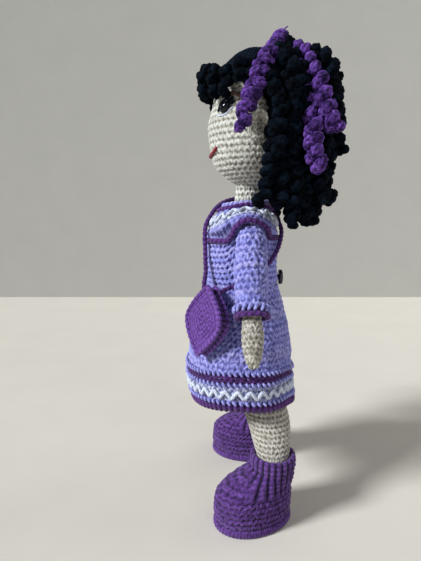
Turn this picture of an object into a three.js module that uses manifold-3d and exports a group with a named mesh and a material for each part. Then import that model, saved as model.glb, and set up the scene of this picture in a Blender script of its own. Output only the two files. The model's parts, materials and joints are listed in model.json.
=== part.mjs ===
// Crocheted doll, about 0.4 m tall: stuffed body, head and limbs, dress, boots, shoulder bag and curled hair.
// Millimetres, +Z up. The doll faces -Y, its left side is +X, and it stands on its boot soles at Z = 0.
import * as THREE from "three";
import { mergeVertices } from "three/addons/utils/BufferGeometryUtils.js";
import Module from "manifold-3d";

const wasm = await Module();
wasm.setup();

// Driving dimensions, in millimetres

const gap = 0.3; // between pieces that touch
const cutOverrun = 6; // how far a cutting tool reaches past what it cuts

// Yarn fabrics
const skinWall = 2.4;
const dressWall = 3;
const bootWall = 3.2;
const dressEase = 0.5; // between the body and the dress
const fillEase = 0.6; // between a skin and its stuffing

// Heights above the table
const bodyBottomZ = 148;
const neckTopZ = 279;
const headHeight = 106;
const skirtHemZ = 90;
const waistZ = 196;
const yokeSeamZ = 238;
const necklineZ = 266;

// Widths and depths
const bodyWidth = 54;
const bodyDepth = 55;
const headWidth = 78;
const headDepth = 78;
const skirtWidth = 116;
const skirtDepth = 95.6;
const hemTilt = 2.4; // front of the hem above its middle height
const skirtSideLift = 12; // sides of the stripe above its front
const shoulderWidth = 87;
const yokeSideLift = 13;

// Neck and its axis, which the head turns about
const neckRadius = 11.6;
const neckY = 0.5;
const bodyAxisY = -6.2;
const headAxisY = 3.4;
const stiffenerRadius = 4;
const stiffenerLength = 76;

// Arms: a stub through the armhole carries a ball, and the arm hangs out from it
const shoulderX = 39.5;
const shoulderY = -2;
const shoulderZ = 237.5;
const armSpreadDeg = 26;
const armLength = 101;
const armRadius = 10;
const sleeveEase = 0.7;
const sleeveWall = 2.9;
const sleeveLength = 57;
const sleeveCuffHeight = 6;
const sleeveWiden = 1.04; // share that a sleeve widens by at its cuff
const sleeveCuffProud = 1;

// Legs
const hipX = 20.6;
const hipY = -1.5;
const ankleX = 46.6;
const ankleY = 19.6;
const calfWidth = 37.6;
const calfDepth = 40.4;

// Boots, in the foot's own frame: length runs from heel to toe
const bootLength = 70;
const bootWidth = 44;
const bootToeOutDeg = 16;
const bootHeelBehindAnkle = 17.6;
const toeBroadShare = 0.1; // wider at the toe than at the heel
const soleThick = 6.4;
const soleProud = 1.2;
const soleEdge = 1.3;
const insoleThick = 1.4;
const bootTopZ = 45.5;
const bootCuffTopZ = 57.5;
const bootCuffEase = 0.7;
const bootCuffWall = 4;
const bootCuffFlare = 1;

// Dress trims
const hemHeight = 7;
const hemProud = 1.4;
const stripeHeight = 8.4;
const stripeBottomZ = 109.5;
const stripeProud = 1;
const seamHeight = 4.4;
const seamProud = 1;
const buttonRadius = 6.4;
const buttonThick = 4;
const buttonZ = 194;

// Bag: two leaf-shaped discs, a gusset between them and a strap over the right shoulder
const bagHalfWidth = 20;
const bagHalfHeight = 28;
const bagThick = 9.4;
const bagDiscWall = 2.6;
const bagGussetWall = 2.6;
const bagFacingDeg = 48; // from the doll's left towards its front
const bagLeanDeg = 12;
const bagX = 38.4;
const bagY = -36.2;
const bagZ = 171;
const bagMouthDeg = 70;
const leafPower = 1.45; // 1 gives an oval, 2 a leaf with straight sides
const strapDiameter = 4;

// Face
const eyeRadius = 5.6;
const eyeDome = 3.4;
const eyePostRadius = 1.6;
const eyePostLength = 8;
const eyeUpShare = 0.563; // of the head's height
const eyeAngleDeg = 46;
const washerRadius = 4.6;
const washerThick = 1.4;
const mouthThread = 0.8;
const mouthUpShare = 0.277;
const mouthHalfDeg = 34;
const mouthRise = 4.7;
const browThread = 0.7;
const browRise = 12.5; // above the eye
const browDrop = 2;
const browBow = 1.5;
const browFromDeg = 38;
const browToDeg = 60;
const lashThread = 0.9;
const lashAboveEye = 2.2;
const lashRise = 6;
const lashHalfDeg = 11.5;
const earHeight = 21;
const earDepth = 13;
const earStand = 8.4;
const earUpShare = 0.436;
const earAngleDeg = 92;

// Hair
const capThick = 4.6;
const hairlineUpShare = 0.733;
const napeUpShare = 0.157;
const capBehindEarY = 14;
const curlTube = 3.3; // radius of the thick twisted tube
const curlCoil = 3.4; // radius of the turns of the tube's centre line
const curlPitch = 13;
const curlEaseSteps = 4; // over which a curl's turns open out
const lockRadius = 7;
const rootStepDeg = 12; // between the points of a root row
const lockTipShare = 0.62;
const fringeRadius = 5.6;

// Facets
const headSides = 18;
const bodySides = 18;
const skirtSides = 20;
const limbSides = 10;
const smallSides = 8;
const bootSides = 14;
const bagSides = 20;
const strapSteps = 34;
const curlStepsPerTurn = 8;
const curlSides = 5;
const lockSides = 5;
const lockSteps = 5;
const fringeSteps = 4;
const threadSteps = 10;
const domeSteps = 5;
const threadSides = 5;
const clearSteps = 12;

// Longer than half of the doll in any direction, for cutting boxes
const farOut = necklineZ + headHeight;

// The slope of a form is read over this distance and angle
const slopeSpan = 1;
const slopeAngle = 0.05;

// Vectors and small sums

const rad = THREE.MathUtils.degToRad;
const lerp = THREE.MathUtils.lerp;
const vec = (x, y, z) => new THREE.Vector3(x, y, z);
const UP = vec(0, 0, 1);
const AXIS_X = vec(1, 0, 0);

// Solids: a loft is a stack of rows of points, closed at its ends or joined end to start

function geometryOf(points, faces) {
  const geometry = new THREE.BufferGeometry();
  const flat = points.flatMap((p) => [p.x, p.y, p.z]);
  geometry.setAttribute("position", new THREE.Float32BufferAttribute(flat, 3));
  geometry.setIndex(faces);
  return geometry;
}

// Rows run upwards on the outside of a piece and downwards on its inside.
function loft(rows, joined = false) {
  const sides = rows[0].length;
  const points = rows.flat();
  const faces = [];
  const strips = joined ? rows.length : rows.length - 1;
  for (let r = 0; r < strips; r++) {
    const next = (r + 1) % rows.length;
    for (let s = 0; s < sides; s++) {
      const after = (s + 1) % sides;
      const a = r * sides + s;
      const b = r * sides + after;
      const c = next * sides + after;
      const d = next * sides + s;
      faces.push(a, b, c, a, c, d);
    }
  }
  if (!joined) {
    addFan(points, faces, rows[0], 0, false);
    addFan(points, faces, rows.at(-1), (rows.length - 1) * sides, true);
  }
  return geometryOf(points, faces);
}

// Closes an end row with triangles to its middle.
function addFan(points, faces, row, first, facesUp) {
  const middle = row.reduce((sum, p) => sum.add(p), vec(0, 0, 0)).divideScalar(row.length);
  const hub = points.length;
  points.push(middle);
  for (let s = 0; s < row.length; s++) {
    const a = first + s;
    const b = first + ((s + 1) % row.length);
    if (facesUp) faces.push(a, b, hub);
    else faces.push(b, a, hub);
  }
}

function solidOf(geometry) {
  const plain = geometry.clone();
  plain.deleteAttribute("normal");
  plain.deleteAttribute("uv");
  const merged = mergeVertices(plain, 1e-4);
  const vertProperties = new Float32Array(merged.getAttribute("position").array);
  const triVerts = new Uint32Array(merged.index.array);
  return new wasm.Manifold(new wasm.Mesh({ numProp: 3, vertProperties, triVerts }));
}

function geometryFrom(solid) {
  const mesh = solid.getMesh();
  const geometry = new THREE.BufferGeometry();
  geometry.setAttribute("position", new THREE.BufferAttribute(new Float32Array(mesh.vertProperties), 3));
  geometry.setIndex(new THREE.BufferAttribute(new Uint32Array(mesh.triVerts), 1));
  return geometry;
}

const cut = (piece, ...tools) =>
  geometryFrom(tools.reduce((solid, tool) => solid.subtract(solidOf(tool)), solidOf(piece)));
const join = (piece, ...others) =>
  geometryFrom(others.reduce((solid, other) => solid.add(solidOf(other)), solidOf(piece)));

function boxBetween(low, high) {
  const size = high.clone().sub(low);
  const middle = low.clone().add(high).divideScalar(2);
  return new THREE.BoxGeometry(size.x, size.y, size.z).translate(middle.x, middle.y, middle.z);
}

// A cylinder between two points.
function rodBetween(from, to, radius, sides) {
  const along = to.clone().sub(from);
  const rod = new THREE.CylinderGeometry(radius, radius, along.length(), sides);
  rod.applyQuaternion(new THREE.Quaternion().setFromUnitVectors(vec(0, 1, 0), along.clone().normalize()));
  const middle = from.clone().add(to).divideScalar(2);
  return rod.translate(middle.x, middle.y, middle.z);
}

function threadAlong(points, radius, steps, sides) {
  const circle = new THREE.Shape();
  for (let s = 0; s < sides; s++) {
    const turn = (2 * Math.PI * s) / sides;
    const x = radius * Math.cos(turn);
    const y = radius * Math.sin(turn);
    if (s === 0) circle.moveTo(x, y);
    else circle.lineTo(x, y);
  }
  const extrudePath = new THREE.CatmullRomCurve3(points);
  return new THREE.ExtrudeGeometry(circle, { steps, bevelEnabled: false, extrudePath });
}

// Forms: a form is a list of level oval rings { z, x, y, halfWidth, halfDepth, lift, tilt, broad }.
// Angle 0 is the doll's front and 90 degrees its left. Lift raises a ring at both sides, tilt raises
// its front above its back, and broad makes its front wider than its back.

function ringPoint(ring, angle) {
  const side = Math.sin(angle);
  const ahead = Math.cos(angle);
  const { x = 0, y = 0, lift = 0, tilt = 0, broad = 0 } = ring;
  const z = ring.z + lift * side * side + tilt * ahead;
  return vec(x + ring.halfWidth * side * (1 + broad * ahead), y - ring.halfDepth * ahead, z);
}

function ringRow(ring, sides) {
  return Array.from({ length: sides }, (_, s) => ringPoint(ring, (2 * Math.PI * s) / sides));
}

const rowsOf = (rings, sides) => rings.map((ring) => ringRow(ring, sides));

const meanRadius = (ring) => (ring.halfWidth + ring.halfDepth) / 2;

// The same form, grown outwards (or inwards) square to its profile.
function grown(rings, by) {
  return rings.map((ring, i) => {
    const below = rings[Math.max(i - 1, 0)];
    const above = rings[Math.min(i + 1, rings.length - 1)];
    const rise = above.z - below.z;
    const spread = meanRadius(above) - meanRadius(below);
    const slope = Math.hypot(rise, spread);
    const out = (by * rise) / slope;
    return {
      ...ring,
      z: ring.z - (by * spread) / slope,
      halfWidth: Math.max(ring.halfWidth + out, 0.1 * ring.halfWidth),
      halfDepth: Math.max(ring.halfDepth + out, 0.1 * ring.halfDepth),
    };
  });
}

function ringAt(rings, z) {
  const last = rings.length - 1;
  if (z <= rings[0].z) return rings[0];
  if (z >= rings[last].z) return rings[last];
  const i = rings.findIndex((ring) => ring.z > z);
  const [low, high] = [rings[i - 1], rings[i]];
  const share = (z - low.z) / (high.z - low.z);
  const mixed = { z };
  for (const key of ["x", "y", "halfWidth", "halfDepth", "lift", "tilt", "broad"]) {
    mixed[key] = lerp(low[key] ?? 0, high[key] ?? 0, share);
  }
  return mixed;
}

// The rings between two heights, with a ring at each of the two.
function span(rings, from, to) {
  const inside = rings.filter((ring) => ring.z > from && ring.z < to);
  return [ringAt(rings, from), ...inside, ringAt(rings, to)];
}

// A point on a form and its outward direction there, moved outwards by a distance.
function spot(rings, z, angleDeg, out = 0) {
  const angle = rad(angleDeg);
  const at = (height, turn) => ringPoint(ringAt(rings, height), turn);
  const up = at(z + slopeSpan, angle).sub(at(z - slopeSpan, angle));
  const across = at(z, angle + slopeAngle).sub(at(z, angle - slopeAngle));
  const normal = across.cross(up).normalize();
  return { point: at(z, angle).addScaledVector(normal, out), normal };
}

const shell = (outer, inner, sides) => loft([...rowsOf(outer, sides), ...rowsOf([...inner].reverse(), sides)], true);

// A shell that is closed at its lower end and open at its upper end.
const cup = (outer, inner, sides) => loft([...rowsOf(outer, sides), ...rowsOf([...inner].reverse(), sides)]);

// The materials

const yarns = {
  skin: { color: 0xd9c8a4, roughness: 0.95 },
  stuffing: { color: 0xf2f0ea, roughness: 1 },
  lilac: { color: 0xb9a3ea, roughness: 0.95 },
  purple: { color: 0x4f1f6e, roughness: 0.95 },
  plum: { color: 0x5b2a86, roughness: 0.95 },
  violet: { color: 0x6b3fa0, roughness: 0.95 },
  black: { color: 0x0c0d16, roughness: 0.95 },
  brown: { color: 0x4a3026, roughness: 0.95 },
  red: { color: 0x8c1f2c, roughness: 0.9 },
  card: { color: 0xb7a58a, roughness: 0.9 },
  wood: { color: 0xc9a878, roughness: 0.7 },
  gloss: { color: 0x050507, roughness: 0.1 },
  plastic: { color: 0xe8e8e8, roughness: 0.4 },
};

const doll = new THREE.Group();

function place(name, geometry, yarn) {
  const mesh = new THREE.Mesh(geometry, new THREE.MeshStandardMaterial({ ...yarns[yarn], metalness: 0 }));
  mesh.name = name;
  doll.add(mesh);
  return mesh;
}

// Mirrors a left piece into the right one.
function mirrored(geometry) {
  const copy = geometry.index ? geometry.clone() : mergeVertices(geometry.clone());
  copy.scale(-1, 1, 1);
  const index = copy.index.array;
  for (let i = 0; i < index.length; i += 3) [index[i + 1], index[i + 2]] = [index[i + 2], index[i + 1]];
  return copy;
}

function placePair(name, geometry, yarn) {
  place("left_" + name, geometry, yarn);
  place("right_" + name, mirrored(geometry), yarn);
}

// Body: crotch to neck, in shares of its height, width and depth

const bodyHeight = neckTopZ - bodyBottomZ;
const bodyRingShares = [
  { up: 0, back: 0.07, wide: 1.2, deep: 0.9 },
  { up: 0.1, back: 0.05, wide: 1.24, deep: 1.12 },
  { up: 0.24, back: 0.02, wide: 1.1, deep: 1.16 },
  { up: 0.37, back: 0.02, wide: 1, deep: 1.06 },
  { up: 0.52, back: -0.01, wide: 1, deep: 1.01 },
  { up: 0.66, back: 0, wide: 1, deep: 1 },
  { up: 0.74, back: 0.02, wide: 0.99, deep: 0.94 },
  { up: 0.8, back: 0.04, wide: 0.94, deep: 0.82 },
  { up: 0.845, back: 0.07, wide: 0.8, deep: 0.68 },
];
const neckRingShares = [
  { up: 0.885, wide: 1.3 },
  { up: 0.92, wide: 1.06 },
  { up: 1, wide: 1 },
];
const bodyForm = [
  ...bodyRingShares.map((share) => ({
    z: bodyBottomZ + share.up * bodyHeight,
    y: bodyAxisY + share.back * bodyDepth,
    halfWidth: (share.wide * bodyWidth) / 2,
    halfDepth: (share.deep * bodyDepth) / 2,
  })),
  ...neckRingShares.map((share) => ({
    z: bodyBottomZ + share.up * bodyHeight,
    y: neckY,
    halfWidth: share.wide * neckRadius,
    halfDepth: share.wide * neckRadius,
  })),
];

const flatEnds = (rings, low, high) => [{ ...rings[0], z: low }, ...rings.slice(1, -1), { ...rings.at(-1), z: high }];

// A stiffener rod runs up the neck, from the chest into the head.
const stiffenerFrom = vec(0, neckY, neckTopZ - stiffenerLength / 2);
const stiffenerTo = vec(0, neckY, neckTopZ + stiffenerLength / 2);
const stiffener = rodBetween(stiffenerFrom, stiffenerTo, stiffenerRadius, limbSides);
const stiffenerHole = rodBetween(
  stiffenerFrom.clone().addScaledVector(UP, -gap),
  stiffenerTo.clone().addScaledVector(UP, gap),
  stiffenerRadius + gap,
  limbSides,
);

const bodyInner = flatEnds(grown(bodyForm, -skinWall), bodyBottomZ + skinWall, neckTopZ);
const bodyFill = flatEnds(grown(bodyForm, -skinWall - fillEase), bodyBottomZ + skinWall + gap, neckTopZ - gap);
const bodySkin = cup(flatEnds(bodyForm, bodyBottomZ, neckTopZ), bodyInner, bodySides);

place("torso_skin", bodySkin, "skin");
place("torso_stuffing", cut(loft(rowsOf(bodyFill, bodySides)), stiffenerHole), "stuffing");
place("neck_stiffener", stiffener, "wood");

// Head: from the neck to the crown, with the fuller cheeks below the eyes

const headBottomZ = neckTopZ + gap;
const headUp = (up) => headBottomZ + up * headHeight;
const headRingShares = [
  { up: 0.0, front: 0.3, back: 0.3, wide: 0.3 },
  { up: 0.05, front: 0.54, back: 0.46, wide: 0.49 },
  { up: 0.13, front: 0.8, back: 0.7, wide: 0.74 },
  { up: 0.2, front: 0.9, back: 0.82, wide: 0.88 },
  { up: 0.29, front: 0.945, back: 0.92, wide: 0.96 },
  { up: 0.39, front: 0.985, back: 0.99, wide: 1 },
  { up: 0.48, front: 1, back: 1.02, wide: 1 },
  { up: 0.57, front: 0.92, back: 1.03, wide: 0.985 },
  { up: 0.66, front: 0.865, back: 1.0, wide: 0.96 },
  { up: 0.76, front: 0.79, back: 0.92, wide: 0.86 },
  { up: 0.86, front: 0.61, back: 0.74, wide: 0.68 },
  { up: 0.94, front: 0.38, back: 0.47, wide: 0.44 },
  { up: 0.985, front: 0.16, back: 0.2, wide: 0.18 },
];
const headForm = headRingShares.map((share) => {
  const front = headAxisY - (share.front * headDepth) / 2;
  const back = headAxisY + (share.back * headDepth) / 2;
  return {
    z: headBottomZ + share.up * headHeight,
    y: (front + back) / 2,
    halfWidth: (share.wide * headWidth) / 2,
    halfDepth: (back - front) / 2,
  };
});
const crownZ = headForm.at(-1).z;

// The head's skin is open where it is sewn to the neck.
function headShellRows(form, inset) {
  const rings = grown(form, inset);
  return [{ ...rings[0], z: headBottomZ }, ...rings.slice(1)];
}

const headOuterRings = headShellRows(headForm, 0);
const headInnerRings = headShellRows(headForm, -skinWall);
const headFillRings = grown(headForm, -skinWall - fillEase);
headFillRings[0].z = headBottomZ + gap;

// An upside-down cup: the outside runs up to the crown and the inside comes back down.
function dome(outer, inner, sides) {
  const outside = loft(rowsOf(outer, sides));
  const below = inner[0].z - cutOverrun;
  const hollow = loft(rowsOf([{ ...inner[0], z: below }, ...inner], sides));
  return cut(outside, hollow);
}

// Eyes: a glossy dome on a ribbed post, held inside the head by a washer

const eyeZ = headUp(eyeUpShare);
const eyeSeat = spot(headForm, eyeZ, eyeAngleDeg);
const toEye = new THREE.Matrix4().compose(
  eyeSeat.point,
  new THREE.Quaternion().setFromUnitVectors(vec(0, 1, 0), eyeSeat.normal),
  vec(1, 1, 1),
);
const eyeBack = gap * 2; // the flat back of the dome clears the curved skin
const washerInset = skinWall + gap * 2 + eyeBack;

function eyeGeometry(clearance) {
  const dome = [];
  for (let i = 0; i <= domeSteps; i++) {
    const turn = ((i / domeSteps) * Math.PI) / 2;
    const radius = (eyeRadius + clearance) * Math.cos(turn);
    dome.push(new THREE.Vector2(radius, eyeBack - clearance + (eyeDome + 2 * clearance) * Math.sin(turn)));
  }
  dome[domeSteps].x = 0;
  const postRadius = eyePostRadius + clearance;
  const postEnd = -eyePostLength - clearance;
  const profile = [
    new THREE.Vector2(0, postEnd),
    new THREE.Vector2(postRadius, postEnd),
    new THREE.Vector2(postRadius, eyeBack - clearance),
    ...dome,
  ];
  return new THREE.LatheGeometry(profile, smallSides).applyMatrix4(toEye);
}

const washerProfile = [
  new THREE.Vector2(eyePostRadius + gap, -washerInset - washerThick),
  new THREE.Vector2(washerRadius, -washerInset - washerThick),
  new THREE.Vector2(washerRadius, -washerInset),
  new THREE.Vector2(eyePostRadius + gap, -washerInset),
  new THREE.Vector2(eyePostRadius + gap, -washerInset - washerThick),
];
const washer = new THREE.LatheGeometry(washerProfile, smallSides).applyMatrix4(toEye);

const eye = eyeGeometry(0);
const eyeHole = eyeGeometry(gap);
const alongEye = (out) => eyeSeat.point.clone().addScaledVector(eyeSeat.normal, out);
const washerHole = rodBetween(alongEye(0), alongEye(-eyePostLength - gap), washerRadius + gap, smallSides);
const eyeHoles = [eyeHole, mirrored(eyeHole)];
const washerHoles = [washerHole, mirrored(washerHole)];

place("head_skin", cut(dome(headOuterRings, headInnerRings, headSides), ...eyeHoles), "skin");
place("head_stuffing", cut(loft(rowsOf(headFillRings, headSides)), stiffenerHole, ...washerHoles), "stuffing");
placePair("eye", eye, "gloss");
placePair("eye_washer", washer, "plastic");

// Ears: flat crocheted lobes sewn to the sides of the head

function earGeometry() {
  const lobe = new THREE.SphereGeometry(1, smallSides, limbSides / 2).rotateX(Math.PI / 2);
  lobe.scale(earStand, earDepth / 2, earHeight / 2);
  const seat = spot(headForm, headUp(earUpShare), earAngleDeg);
  lobe.translate(seat.point.x, seat.point.y, seat.point.z);
  return cut(lobe, loft(rowsOf(grown(headForm, gap), headSides)));
}
placePair("ear", earGeometry(), "skin");

// Face threads: each lies on the skin along a short run of spots

function faceThread(from, to, bow, radius, steps) {
  const points = [];
  for (let i = 0; i <= steps; i++) {
    const share = i / steps;
    const z = lerp(from.z, to.z, share) + bow * 4 * share * (1 - share);
    points.push(spot(headForm, z, lerp(from.deg, to.deg, share), radius + gap).point);
  }
  return threadAlong(points, radius, steps, threadSides);
}

const mouthZ = headUp(mouthUpShare);
const mouthCorner = (side) => ({ z: mouthZ, deg: side * mouthHalfDeg });
place("mouth", faceThread(mouthCorner(-1), mouthCorner(1), -mouthRise, mouthThread, threadSteps), "red");

const browZ = eyeZ + browRise;
const browFrom = { z: browZ, deg: browFromDeg };
const browTo = { z: browZ - browDrop, deg: browToDeg };
placePair("eyebrow", faceThread(browFrom, browTo, browBow, browThread, threadSteps / 2), "brown");

// The lash line arches over the eye, just outside its dome.
const lashCorner = (side) => ({ z: eyeZ + lashAboveEye, deg: eyeAngleDeg + side * lashHalfDeg });
placePair("lashes", faceThread(lashCorner(-1), lashCorner(1), lashRise, lashThread, threadSteps - 2), "black");

// Legs: firm tubes that carry the body, sewn under it and running down into the boots

const legBottomZ = bootTopZ + gap;
const legTopZ = bodyBottomZ - gap;
const legRingShares = [
  { up: 0, inwards: 0, forwards: 0, size: 0.6 },
  { up: 0.12, inwards: 0, forwards: 0, size: 0.7 },
  { up: 0.18, inwards: 0.22, forwards: 0.02, size: 0.8 },
  { up: 0.27, inwards: 0.45, forwards: 0.05, size: 0.9 },
  { up: 0.37, inwards: 0.7, forwards: 0.15, size: 0.98 },
  { up: 0.46, inwards: 0.85, forwards: 0.3, size: 1 },
  { up: 0.63, inwards: 0.93, forwards: 0.55, size: 0.98 },
  { up: 0.83, inwards: 0.96, forwards: 0.79, size: 0.96 },
  { up: 1, inwards: 1, forwards: 1, size: 0.92 },
];
const legForm = legRingShares.map((share) => ({
  z: lerp(legBottomZ, legTopZ, share.up),
  x: lerp(ankleX, hipX, share.inwards),
  y: lerp(ankleY, hipY, share.forwards),
  halfWidth: (share.size * calfWidth) / 2,
  halfDepth: (share.size * calfDepth) / 2,
}));
const legInner = flatEnds(grown(legForm, -skinWall), legBottomZ + skinWall, legTopZ);
const legFill = flatEnds(grown(legForm, -skinWall - fillEase), legBottomZ + skinWall + gap, legTopZ);
placePair("leg_skin", cup(legForm, legInner, limbSides), "skin");
placePair("leg_stuffing", loft(rowsOf(legFill, limbSides)), "stuffing");

// Boots: built over the ankle with the toe towards -Y, then turned out and moved to the ankle

const bootBottomZ = soleThick + gap;
const bootRingShares = [
  { up: 0, heel: 0.01, toe: 0.985, wide: 0.98 },
  { up: 0.15, heel: 0, toe: 1, wide: 1 },
  { up: 0.4, heel: 0, toe: 1, wide: 0.99 },
  { up: 0.58, heel: 0, toe: 0.98, wide: 0.95 },
  { up: 0.72, heel: 0.005, toe: 0.89, wide: 0.9 },
  { up: 0.82, heel: 0.01, toe: 0.79, wide: 0.87 },
  { up: 0.91, heel: 0.015, toe: 0.68, wide: 0.84 },
  { up: 1, heel: 0.02, toe: 0.57, wide: 0.82 },
];
const bootForm = bootRingShares.map((share) => ({
  z: lerp(bootBottomZ, bootTopZ, share.up),
  y: bootHeelBehindAnkle - ((share.heel + share.toe) / 2) * bootLength,
  halfWidth: (share.wide * bootWidth) / 2,
  halfDepth: ((share.toe - share.heel) / 2) * bootLength,
  broad: toeBroadShare * (1 - share.up),
}));

function atFoot(geometry) {
  return geometry.rotateZ(rad(bootToeOutDeg)).translate(ankleX, ankleY, 0);
}

const footprint = bootForm[0];
const soleRing = (z, proud) => ({
  ...footprint,
  z,
  halfWidth: footprint.halfWidth + proud,
  halfDepth: footprint.halfDepth + proud,
});
const sole = loft(
  rowsOf(
    [
      soleRing(0, soleProud - soleEdge),
      soleRing(soleEdge, soleProud),
      soleRing(soleThick - soleEdge, soleProud),
      soleRing(soleThick, soleProud - soleEdge),
    ],
    bootSides,
  ),
);
const bootInner = flatEnds(grown(bootForm, -bootWall), bootBottomZ, bootTopZ);
const insoleTopZ = bootBottomZ + insoleThick;
const insetFootprint = soleRing(bootBottomZ, -bootWall - 2 * gap);
const insole = loft(rowsOf([insetFootprint, { ...insetFootprint, z: insoleTopZ }], bootSides));
const bootFillForm = grown(bootForm, -bootWall - fillEase);
const bootFill = flatEnds(span(bootFillForm, insoleTopZ + gap, bootFillForm.at(-1).z), insoleTopZ + gap, bootTopZ);
const upperOuter = flatEnds(bootForm, bootBottomZ, bootTopZ);
placePair("boot_sole", atFoot(sole), "purple");
placePair("boot_insole", atFoot(insole), "card");
placePair("boot_upper", atFoot(shell(upperOuter, bootInner, bootSides)), "purple");
placePair("boot_stuffing", atFoot(loft(rowsOf(bootFill, bootSides))), "stuffing");

// The ribbed cuff stands on the upper's rim and goes round the ankle.
const bootCuffBottomZ = bootTopZ + gap;
const ankleAtCuffTop = meanRadius(ringAt(legForm, bootCuffTopZ));
const bootCuffInner = ankleAtCuffTop + bootCuffEase;
const cuffRing = (z, radius) => ({ z, x: ankleX, y: ankleY, halfWidth: radius, halfDepth: radius });
const bootCuff = shell(
  [
    cuffRing(bootCuffBottomZ, bootCuffInner + bootCuffWall - bootCuffFlare),
    cuffRing(lerp(bootCuffBottomZ, bootCuffTopZ, 0.4), bootCuffInner + bootCuffWall),
    cuffRing(bootCuffTopZ, bootCuffInner + bootCuffWall),
  ],
  [cuffRing(bootCuffBottomZ, bootCuffInner), cuffRing(bootCuffTopZ, bootCuffInner)],
  bootSides,
);
placePair("boot_cuff", bootCuff, "purple");

// Arms: built hanging straight down from the shoulder's middle, then spread outwards

const shoulder = vec(shoulderX, shoulderY, shoulderZ);
const toArm = new THREE.Matrix4()
  .makeTranslation(shoulder)
  .multiply(new THREE.Matrix4().makeRotationY(rad(-armSpreadDeg)));
const armRingShares = [
  { down: 1, size: 0.22 },
  { down: 0.975, size: 0.46 },
  { down: 0.92, size: 0.66 },
  { down: 0.84, size: 0.82 },
  { down: 0.76, size: 0.86 },
  { down: 0.68, size: 0.8 },
  { down: 0.6, size: 0.7 },
  { down: 0.48, size: 0.76 },
  { down: 0.3, size: 0.9 },
  { down: 0.12, size: 0.98 },
];
const ballRings = (radius) =>
  [0, 30, 60, 85].map((deg) => ({
    z: radius * Math.sin(rad(deg)),
    halfWidth: radius * Math.cos(rad(deg)),
    halfDepth: radius * Math.cos(rad(deg)),
  }));
const armForm = [
  ...armRingShares.map((share) => ({
    z: -share.down * armLength,
    halfWidth: share.size * armRadius,
    halfDepth: share.size * armRadius,
  })),
  ...ballRings(armRadius),
];

// The arm's end is flat against the body's side, and its stub turns in the armhole.
const bodySideX = bodyWidth / 2 + gap;
const dressSideX = bodyWidth / 2 + dressEase + dressWall + gap;
const stubRadius = armRadius - gap;
const stub = (from, radius) => rodBetween(vec(from, shoulderY, shoulderZ), shoulder, radius, limbSides);
const innerSide = (x) => boxBetween(vec(-farOut, -farOut, -farOut), vec(x, farOut, shoulderZ + farOut));
const hanging = (rings) => loft(rowsOf(rings, limbSides)).applyMatrix4(toArm);
const armSolid = (inset) =>
  join(hanging(grown(armForm, -inset)), stub(bodySideX - (inset ? cutOverrun : 0), stubRadius - inset));
const armHollow = armSolid(skinWall);
const armFill = cut(armSolid(skinWall + fillEase), innerSide(bodySideX));
placePair("arm_skin", cut(armSolid(0), armHollow, innerSide(bodySideX)), "skin");
placePair("arm_stuffing", armFill, "stuffing");

// Sleeves: open towards the body where they meet the dress, and turning with the arms

const sleeveInnerRadius = armRadius + sleeveEase;
const sleeveOuterRadius = sleeveInnerRadius + sleeveWall;
const sleeveForm = (radius) => [
  { z: -sleeveLength, halfWidth: radius * sleeveWiden, halfDepth: radius * sleeveWiden },
  { z: -sleeveLength / 2, halfWidth: radius * sleeveWiden, halfDepth: radius * sleeveWiden },
  ...ballRings(radius),
];
const sleeveHollowRings = sleeveForm(sleeveInnerRadius);
const sleeveHollow = hanging([{ ...sleeveHollowRings[0], z: -sleeveLength - cutOverrun }, ...sleeveHollowRings]);
const sleeveSolid = hanging(sleeveForm(sleeveOuterRadius));
const sleeve = cut(sleeveSolid, sleeveHollow, stub(bodySideX - cutOverrun, armRadius), innerSide(dressSideX));
placePair("sleeve", sleeve, "lilac");

const sleeveCuffTop = -sleeveLength - gap;
const sleeveCuffRing = (z, radius) => ({ z, halfWidth: radius * sleeveWiden, halfDepth: radius * sleeveWiden });
const sleeveCuff = shell(
  [
    sleeveCuffRing(sleeveCuffTop - sleeveCuffHeight, sleeveOuterRadius + sleeveCuffProud),
    sleeveCuffRing(sleeveCuffTop, sleeveOuterRadius + sleeveCuffProud),
  ],
  [
    sleeveCuffRing(sleeveCuffTop - sleeveCuffHeight, sleeveInnerRadius),
    sleeveCuffRing(sleeveCuffTop, sleeveInnerRadius),
  ],
  limbSides,
).applyMatrix4(toArm);
placePair("sleeve_cuff", sleeveCuff, "purple");

// Dress: a bodice over the body, a yoke over the shoulders and a skirt from the waist

const dressOver = grown(bodyForm, dressEase + dressWall);
const dressUnder = grown(bodyForm, dressEase);
const bodiceLow = waistZ + gap;
const bodiceHigh = yokeSeamZ - gap;
const armholeRod = rodBetween(
  vec(-farOut, shoulderY, shoulderZ),
  vec(farOut, shoulderY, shoulderZ),
  armRadius + gap,
  limbSides,
);
// The yoke's lower edge rises over the sleeve heads, and the bodice's upper edge follows it.
const yokeLow = yokeSeamZ + gap + seamHeight;
const yokeRingShares = [
  { up: 0, wide: 1, lift: 0.72 },
  { up: 0.2, wide: 0.99, lift: 0.6 },
  { up: 0.42, wide: 0.93, lift: 0.36 },
  { up: 0.62, wide: 0.8, lift: 0.18 },
  { up: 0.8, wide: 0.6, lift: 0.06 },
];
const bodiceRings = (form) => {
  const top = ringAt(form, bodiceHigh);
  const nearness = (2 * top.halfWidth) / shoulderWidth;
  const lift = yokeRingShares[0].lift * yokeSideLift * nearness ** 2;
  return [...span(form, bodiceLow, bodiceHigh).slice(0, -1), { ...top, z: bodiceHigh, lift }];
};
const bodice = shell(bodiceRings(dressOver), bodiceRings(dressUnder), bodySides);
place("dress_bodice", cut(bodice, armholeRod), "lilac");

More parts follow.
